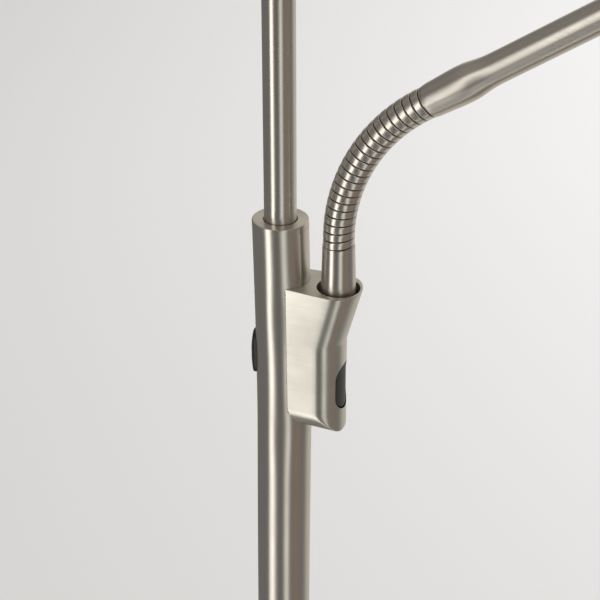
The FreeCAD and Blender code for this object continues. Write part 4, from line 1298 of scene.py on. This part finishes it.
# ---- reading head
@dataclass(frozen=True)
class ReadingHead:
    """The round reading head: a shallow can that shines along the arm's local X, and its lens ring."""

    arm_end: float = 270.0
    pivot: float = 15.0
    offset: float = 38.5
    radius: float = 32.0
    thickness: float = 20.0
    wall: float = 1.6
    edge: float = 4.0
    lens_sunk: float = 1.2
    ring: float = 2.6
    ring_gap: float = 0.15
    lug: tuple[float, float] = (5.5, 3.0)
    lug_sunk: float = 0.8
    mouth: float = 6.0
    lip: float = 0.3
    lip_inside: float = 0.2

    def build(self, finishes: Looks, at: Matrix) -> None:
        """Makes the can with its lug, and the lens ring.

        Args:
            finishes: the materials by use.
            at: the arm's own axes.
        """
        half, inner, edge = self.thickness / 2, self.radius - self.wall, self.edge
        small, tiny = self.lip, self.lip_inside
        line = outline((0.01, -half), (self.radius - edge, -half),
                       arc((self.radius - edge, -half + edge), edge, -90, 0, 10),
                       (self.radius, half - small), (self.radius - small, half), (inner + tiny, half),
                       (inner, half - tiny), (inner, half - self.mouth))
        hinge = at @ Matrix.Translation((0.0, 0.0, self.arm_end + self.pivot))
        centre = at @ Matrix.Translation((0.0, 0.0, self.arm_end + self.pivot + self.offset))
        face = centre @ Matrix.Rotation(math.pi / 2, 4, "Y")
        can = lathe(divided(line, 3.0), 160).moved(face)
        make_piece("reading_head_can", [can, *(patch.moved(hinge) for patch in self.lug_shape())],
                   [finishes["head"]], ["head_shell"], "head")
        low, outer, bore = half - self.lens_sunk, inner - self.ring_gap, inner - self.ring
        ring = outline((outer, low), (outer, half - tiny), (outer - tiny, half), (bore + small, half),
                       (bore, half - small), (bore, low))
        turn_piece("reading_lens_ring", ring, finishes["head"], "head_lens_ring", 160, face, "head")

    def lug_shape(self) -> list[Patch]:
        """The hinge lug: a rounded bar about the hinge's axis Y, open where it enters the can.

        Returns:
            The bar's patch and its two ends, about the hinge.
        """
        radius, half = self.lug
        reach = self.offset - self.radius + self.lug_sunk
        turns = fan(0, -180, 25)
        ring = outline((radius, reach), radius * stack(np.cos(turns), np.sin(turns)), (-radius, reach),
                       (radius, reach))
        level, index = grid(np.array([-half, half]), np.arange(len(ring)))
        bar = Patch(stack(ring[index, 0], level, ring[index, 1]), stack(level, ring[index, 1])).flipped()
        loops = ring * np.linspace(0, 1, 3)[:, None, None]
        low, high = (Patch(stack(loops[..., 0], y, loops[..., 1]), loops) for y in (-half, half))
        return [bar, low, high.flipped()]


# ---- uplighter
@dataclass(frozen=True)
class Uplighter:
    """The shallow spun dish at the top, its hub on the thin pole, and the ring round its diffuser."""

    top: float = 1800.0
    radius: float = 150.0
    flat: float = 30.0
    depth: float = 58.0
    lip: float = 6.0
    wall: float = 1.2
    hub: tuple[float, float] = (12.5, 24.0)
    hub_height: float = 26.0
    hub_edge: float = 1.0
    flange: float = 4.0
    rim: float = 0.3
    ring_rim: float = 0.2
    bore: float = 8.05
    ring: float = 4.5
    ring_height: float = 2.6
    ring_gap: float = 0.35

    def bowl(self, inset: float, end: float) -> Array:
        """The bowl's arc, from its flat foot to an end radius, drawn in by an inset.

        Args:
            inset: how far the wall lies inside the bowl's outside.
            end: radius at which the arc ends.

        Returns:
            (40, 2) array of radii and heights.
        """
        lift = (self.radius ** 2 + self.depth ** 2 - self.flat ** 2) / (2 * self.depth)
        radius = math.hypot(self.flat, lift) - inset
        angle = np.linspace(math.asin(self.flat / radius), math.asin(end / radius), 40)
        middle = self.top - self.lip - self.depth + lift
        return stack(radius * np.sin(angle), middle - radius * np.cos(angle))

    def build(self, finishes: Looks) -> None:
        """Makes the dish, the hub and the ring as turned pieces.

        Args:
            finishes: the materials by use.
        """
        top, foot, inner = self.top, self.top - self.lip - self.depth, self.radius - self.wall
        small, tiny = self.rim, self.ring_rim
        line = outline((self.bore, foot), self.bowl(0.0, self.radius), (self.radius, top - small),
                       (self.radius - small, top), (inner + small, top), (inner, top - small),
                       self.bowl(self.wall, inner)[::-1], (self.bore, foot + self.wall))
        turn_piece("uplight_dish", divided(line, 6.0), finishes["dish"], "dish_shell", 256)
        (narrow, wide), low = self.hub, foot - self.hub_height
        share = np.linspace(0, 1, 25)
        ease = share ** 2 * (3 - 2 * share)
        rise = self.hub_height - self.hub_edge - self.flange
        cone = stack(narrow + (wide - narrow) * ease, low + self.hub_edge + rise * share)
        hub = outline((self.bore, low), (narrow - self.hub_edge, low), cone, (wide, foot - small),
                      (wide - small, foot), (self.bore, foot))
        turn_piece("uplight_hub", divided(hub, 2.0), finishes["thin_pole"], "dish_hub")
        edge = inner - self.ring_gap
        bore, low = edge - self.ring, top - self.ring_height
        ring = outline((edge, low), (edge, top - tiny), (edge - tiny, top), (bore + small, top),
                       (bore, top - small), (bore, low), (edge, low))
        turn_piece("uplight_ring", ring, finishes["dish"], "diffuser_ring", 256)


# ---- base
@dataclass(frozen=True)
class Base:
    """The round base cover, with the mains inlet's grommet hole in its -X side."""

    radius: float = 140.0
    height: float = 24.0
    edge: float = 5.0
    lift: float = 1.5
    wall: float = 1.2
    hole: Pill = Pill(5.6, 5.6, 12.0)
    hole_rounding: float = 0.1
    foot_band: float = 1.5
    foot_edge: float = 0.3
    window: float = 0.0615
    middle: float = 5.2

    def build(self, finishes: Looks) -> None:
        """Makes the cover as a turned top on an upright wall with a round hole in it.

        Args:
            finishes: the materials by use.
        """
        bore, shoulder = self.radius - self.wall, self.height - self.edge
        top = outline(arc((self.radius - self.edge, shoulder), self.edge, 0, 90, 12),
                      (self.middle, self.height), (self.middle, self.height - self.wall))
        inner = outline((bore, shoulder), (bore, self.lift), (self.radius, self.lift))
        wall, turns = RoundWall(self.radius), np.linspace(-math.pi, math.pi, 257)
        near = turns[np.abs(turns) <= self.window]
        upright = np.linspace(self.lift + self.foot_band, shoulder, 13)
        patch, directions = wall.pierced(self.hole, near, upright, 4)
        behind = turns[(turns <= near[0]) & (turns > -math.pi)] + 2 * math.pi
        rest = np.append(turns[turns >= near[-1]], behind)
        foot = np.array([self.lift, self.lift + self.foot_edge, upright[0]])
        parts = [lathe(divided(top, 4.0), 256), wall.band(rest, upright), wall.band(turns, foot), patch,
                 wall.reveal(self.hole, directions, self.wall, self.hole_rounding),
                 lathe(divided(inner, 4.0), 256)]
        make_piece("base_cover_shell", parts, [finishes["base"]], ["base_cover"])


# ---- studio
@dataclass(frozen=True)
class Strip:
    """One upright band of light or shade in the room, as a softbox or a wall shows in metal.

    Attributes:
        azimuth: its middle, in degrees from the direction to the camera, to the camera's right.
        half: half its width in degrees.
        soft: degrees over which each edge fades.
        colour: sRGB colour.
        level: brightness added.
        bow: how far the band bends to the right above and below bow_middle, in degrees per squared rise.
    """

    azimuth: float
    half: float
    soft: float
    colour: str
    level: float
    bow: float = 0.0


@dataclass(frozen=True)
class Studio:
    """Camera, floor, lights and the softboxes that the metal mirrors.

    The metal is too smooth to be lit by a small lamp: its bands are mirror images of upright softboxes
    and dark walls. They stand in the world, by azimuth, and the floor stays out of mirror rays.
    """

    eye: tuple[float, float, float] = (280.6, -716.0, 1547.0)
    ahead: tuple[float, float] = (-0.3534, 0.9355)
    pitch: float = 28.2
    roll: float = -0.133
    focal_pixels: float = 1745.0
    picture: float = 600.0
    sensor: float = 36.0
    clip: tuple[float, float] = (0.05, 60.0)
    bow_middle: float = -0.477
    bow_limit: float = 0.03
    wall: str = "#7a7876"
    overhead: tuple[str, float, float, float] = ("#b9b3a8", 0.8, 0.45, 0.85)
    strips: tuple[Strip, ...] = (
        Strip(-55.5, 7.5, 6.5, "#fffbf3", 2.0, 200.0),
        Strip(5.0, 6.0, 7.0, "#f5f4e9", 0.95, 350.0),
        Strip(150.0, 38.0, 18.0, "#f4ecdc", 0.50),
        Strip(56.0, 18.0, 10.0, "#ffb060", 0.08),
        Strip(-22.0, 10.0, 8.0, "#ffffff", -0.03),
    )
    floor_colour: str = "#e4e5e8"
    floor_half: float = 30000.0
    sun_strength: float = 0.2
    sun_width: float = 150.0
    sun_place: tuple[float, float, float] = (0.0, 0.0, 3000.0)
    side_light: tuple[float, float, float] = (2250.0, 4080.0, 5000.0)
    side_size: float = 2950.0
    side_watts: float = 305.0

    def build(self) -> None:
        """Sets up the camera, the world, the floor and the lights, with plain sRGB tones."""
        bpy.context.scene.view_settings.view_transform = "Standard"
        self.camera()
        self.world()
        self.floor()
        self.lights()

    def camera(self) -> None:
        """Places the camera from its eye, heading, pitch and roll, without shift or blur."""
        (east, north), pitch, roll = self.ahead, math.radians(self.pitch), math.radians(self.roll)
        forward, level = np.array([east, north, 0.0]), np.array([north, -east, 0.0])
        up = np.array([0.0, 0.0, 1.0])
        sight = forward * math.cos(pitch) - up * math.sin(pitch)
        rise = forward * math.sin(pitch) + up * math.cos(pitch)
        right = level * math.cos(roll) + rise * math.sin(roll)
        top = -level * math.sin(roll) + rise * math.cos(roll)
        data = bpy.data.cameras.new("camera")
        data.sensor_width = self.sensor
        data.lens = self.focal_pixels / self.picture * self.sensor
        data.clip_start, data.clip_end = self.clip
        view = placed("camera", data)
        view.matrix_world = from_axes(right, top, -sight, [place * MM for place in self.eye])
        bpy.context.scene.camera = view

    def world(self) -> None:
        """Paints the softboxes: each adds its light where cos(azimuth difference) passes its edge."""
        world = bpy.data.worlds.new("room")
        bpy.context.scene.world = world
        world.use_nodes = True
        tree = world.node_tree
        tree.nodes.clear()
        _, unit, height = level_part(tree, add(tree, "TexCoord").outputs["Generated"])
        towards, right = -np.array(self.ahead), np.array([self.ahead[1], -self.ahead[0]])
        total = add(tree, "CombineXYZ", dict(zip("XYZ", srgb(self.wall)))).outputs[0]
        rise = add(tree, "Math", {0: height, 1: self.bow_middle}, operation="SUBTRACT").outputs[0]
        squared = add(tree, "Math", {0: rise, 1: rise}, operation="MULTIPLY").outputs[0]
        bent = add(tree, "Math", {0: squared, 1: self.bow_limit}, operation="MINIMUM").outputs[0]
        for strip in self.strips:
            angle = math.radians(strip.azimuth)
            middle = towards * math.cos(angle) + right * math.sin(angle)
            start, full = (math.cos(math.radians(max(edge, 0.0)))
                           for edge in (strip.half + strip.soft, strip.half - strip.soft))
            back = add(tree, "Math", {0: bent, 1: -math.radians(strip.bow)}, operation="MULTIPLY")
            straight = add(tree, "VectorRotate", {"Vector": unit, "Angle": back.outputs[0]},
                           rotation_type="Z_AXIS").outputs[0]
            near = add(tree, "VectorMath", {0: straight, 1: (*middle, 0.0)},
                       operation="DOT_PRODUCT").outputs["Value"]
            share = add(tree, "MapRange", {"Value": near, "From Min": start, "From Max": full},
                        interpolation_type="SMOOTHSTEP").outputs[0]
            shone = add(tree, "VectorMath", {0: srgb(strip.colour, strip.level)[:3], "Scale": share},
                        operation="SCALE").outputs[0]
            total = add(tree, "VectorMath", {0: total, 1: shone}, operation="ADD").outputs[0]
        colour, bright, low, high = self.overhead
        above = add(tree, "MapRange", {"Value": height, "From Min": low, "From Max": high},
                    interpolation_type="SMOOTHSTEP").outputs[0]
        # Sockets 4 and 5 are the two vectors that this node mixes.
        mixed = add(tree, "Mix", {"Factor": above, 4: total, 5: srgb(colour, bright)[:3]},
                    data_type="VECTOR")
        shade = add(tree, "Background", {"Strength": 1.0, "Color": mixed.outputs[1]})
        add(tree, "OutputWorld", {"Surface": shade.outputs[0]})

    def floor(self) -> None:
        """A plain pale floor, kept out of mirror rays."""
        mesh, half = bpy.data.meshes.new("floor"), self.floor_half * MM
        corners = [(-half, -half, 0), (half, -half, 0), (half, half, 0), (-half, half, 0)]
        mesh.from_pydata(corners, [], [(0, 1, 2, 3)])
        material, tree, shader = new_material("floor")
        place = add(tree, "TexCoord").outputs["Object"]
        cloud = add(tree, "TexNoise", {"Vector": place, "Scale": 0.5, "Detail": 1.0}).outputs["Fac"]
        colour = two_tones(tree, cloud, self.floor_colour, 0.985, 0.3)
        feed(tree, shader, {"Base Color": colour, "Roughness": 0.9, "Specular IOR Level": 0.0})
        mesh.materials.append(material)
        floor = placed("floor", mesh)
        floor.visible_glossy = False

    def lights(self) -> None:
        """Two lights that stay out of mirror rays: a very broad one overhead, one far to the right."""
        overhead = bpy.data.lights.new("overhead_light", "SUN")
        overhead.energy, overhead.angle = self.sun_strength, math.radians(self.sun_width)
        side = bpy.data.lights.new("side_light", "AREA")
        side.energy, side.size, side.shape = self.side_watts, self.side_size * MM, "DISK"
        for data, place in ((overhead, self.sun_place), (side, self.side_light)):
            light = placed(data.name, data)
            light.matrix_world = Matrix.Translation([p * MM for p in place])
            light.visible_glossy = False


# ---- finishes
def make_finishes() -> Looks:
    """Makes every material once, by its use.

    Returns:
        The materials by use.
    """
    lean = math.radians(Neck.bend)
    looks = {
        "pole": BrushedNickel(),
        "thin_pole": BrushedNickel(roughness=0.30),
        "turned": BrushedNickel(True, roughness=0.34, line_width=0.2),
        "housing": BrushedNickel(colour="#dcdad3", roughness=0.36, stretch=0.7, line_width=0.35,
                                 line_length=18.0, tone=0.12, bump=0.02),
        "housing_top": BrushedNickel(roughness=0.42, stretch=0.3, tone=0.08),
        "ferrule": BrushedNickel(roughness=0.30),
        "winding": BrushedNickel(roughness=0.26, stretch=0.3, bump=0.004, tone=0.04),
        "arm": BrushedNickel(roughness=0.30, tilt=lean),
        "head": BrushedNickel(roughness=0.32, tilt=lean + math.pi / 2),
        "dish": BrushedNickel(True, roughness=0.34, line_width=0.4),
        "base": BrushedNickel(True, roughness=0.34, line_width=0.4),
        "front_key": Plain("#3c3b38", 0.5, 0.25, 0.02),
        "rear_key": Plain("#1a1d20", 0.36, 0.25, 0.01),
        # Painted shade: a dark brown metal for the wall of the front key's opening, standing for the
        # shaded gap round the key.
        "cut_edge_shade": Plain("#3d352c", 0.45, 0.4, 0.01, 0.2, 1.0),
        # Painted shade: a dark brown metal for the gooseneck's groove floors and for the collars under
        # the winding.
        "groove": Plain("#5d5348", 0.5, 0.4, 0.01, 0.2, 1.0),
        "weld": Plain("#e2ddd2", 0.3, 0.5, 0.04, 0.25, 1.0),
    }
    return {name: look.build(name) for name, look in looks.items()}


SLOT_LOOKS: dict[Slot, Plain] = {
    Slot.NICKEL: Plain("#cfc9be", 0.34, 0.4, 0.006, 0.06, 1.0),
    Slot.ZINC: Plain("#b9bcc0", 0.38, 1.2, 0.01, 0.1, 1.0),
    Slot.WEIGHT: Plain("#2a2a2c", 0.75, 1.5, 0.15, 0.25),
    Slot.PLATE: Plain("#1c1c1e", 0.55, 0.5, 0.03),
    Slot.FELT: Plain("#1a1a1c", 0.95, 0.35, 0.15, 0.3, sheen=0.5),
    Slot.RUBBER: Plain("#141414", 0.62, 0.4, 0.03),
    Slot.BLACK_PLASTIC: Plain("#19191b", 0.48, 0.35, 0.02),
    Slot.FRONT_KEY: Plain("#4d4b48", 0.42, 0.25, 0.02),
    Slot.REAR_KEY: Plain("#1d2124", 0.33, 0.25, 0.01),
    Slot.SHEATH: Plain("#c9c4b6", 0.35, 0.8, 0.02, transmission=0.25),
    Slot.BOARD: Plain("#1f5a3a", 0.38, 0.6, 0.02, 0.2),
    Slot.WHITE: Plain("#dedcd6", 0.45, 0.4, 0.015, 0.05),
    Slot.ALUMINIUM: Plain("#cfd2d4", 0.36, 0.5, 0.01, 0.06, 1.0),
    Slot.BRASS: Plain("#c9a55c", 0.3, 0.5, 0.01, 0.1, 1.0),
    Slot.OPAL: Plain("#f4f1e6", 0.42, 0.8, 0.004, 0.03, transmission=0.2, glow=0.15),
    Slot.LENS: Plain("#eef1f2", 0.3, 0.5, 0.01, 0.02, transmission=0.7),
}


def dress_frame() -> None:
    """Gives each CAD node that no piece stands for the look of its slot."""
    looks: Looks = {}
    for row in frame["record"]["subparts"]:
        name, slot = row["node"], Slot(row["material_slot"])
        if name in stood_for:
            continue
        if slot not in looks:
            looks[slot] = SLOT_LOOKS[slot].build("slot_" + slot.value)
        mesh = frame["nodes"][name].data
        mesh.materials.clear()
        mesh.materials.append(looks[slot])
        LOG.info("%s dressed as %s", name, slot.value)


def main() -> None:
    """Builds every sub-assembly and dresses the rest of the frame."""
    logging.basicConfig(level=logging.INFO, format="%(name)s: %(message)s")
    finishes, neck, poles = make_finishes(), Neck(), Poles()
    at = neck.arm_frame()
    for part in (poles, SwitchHousing(poles), neck):
        part.build(finishes)
    Arm().build(finishes, at)
    ReadingHead().build(finishes, at)
    Uplighter().build(finishes)
    Base().build(finishes)
    dress_frame()
    Studio().build()


if __name__ == "__main__":
    main()
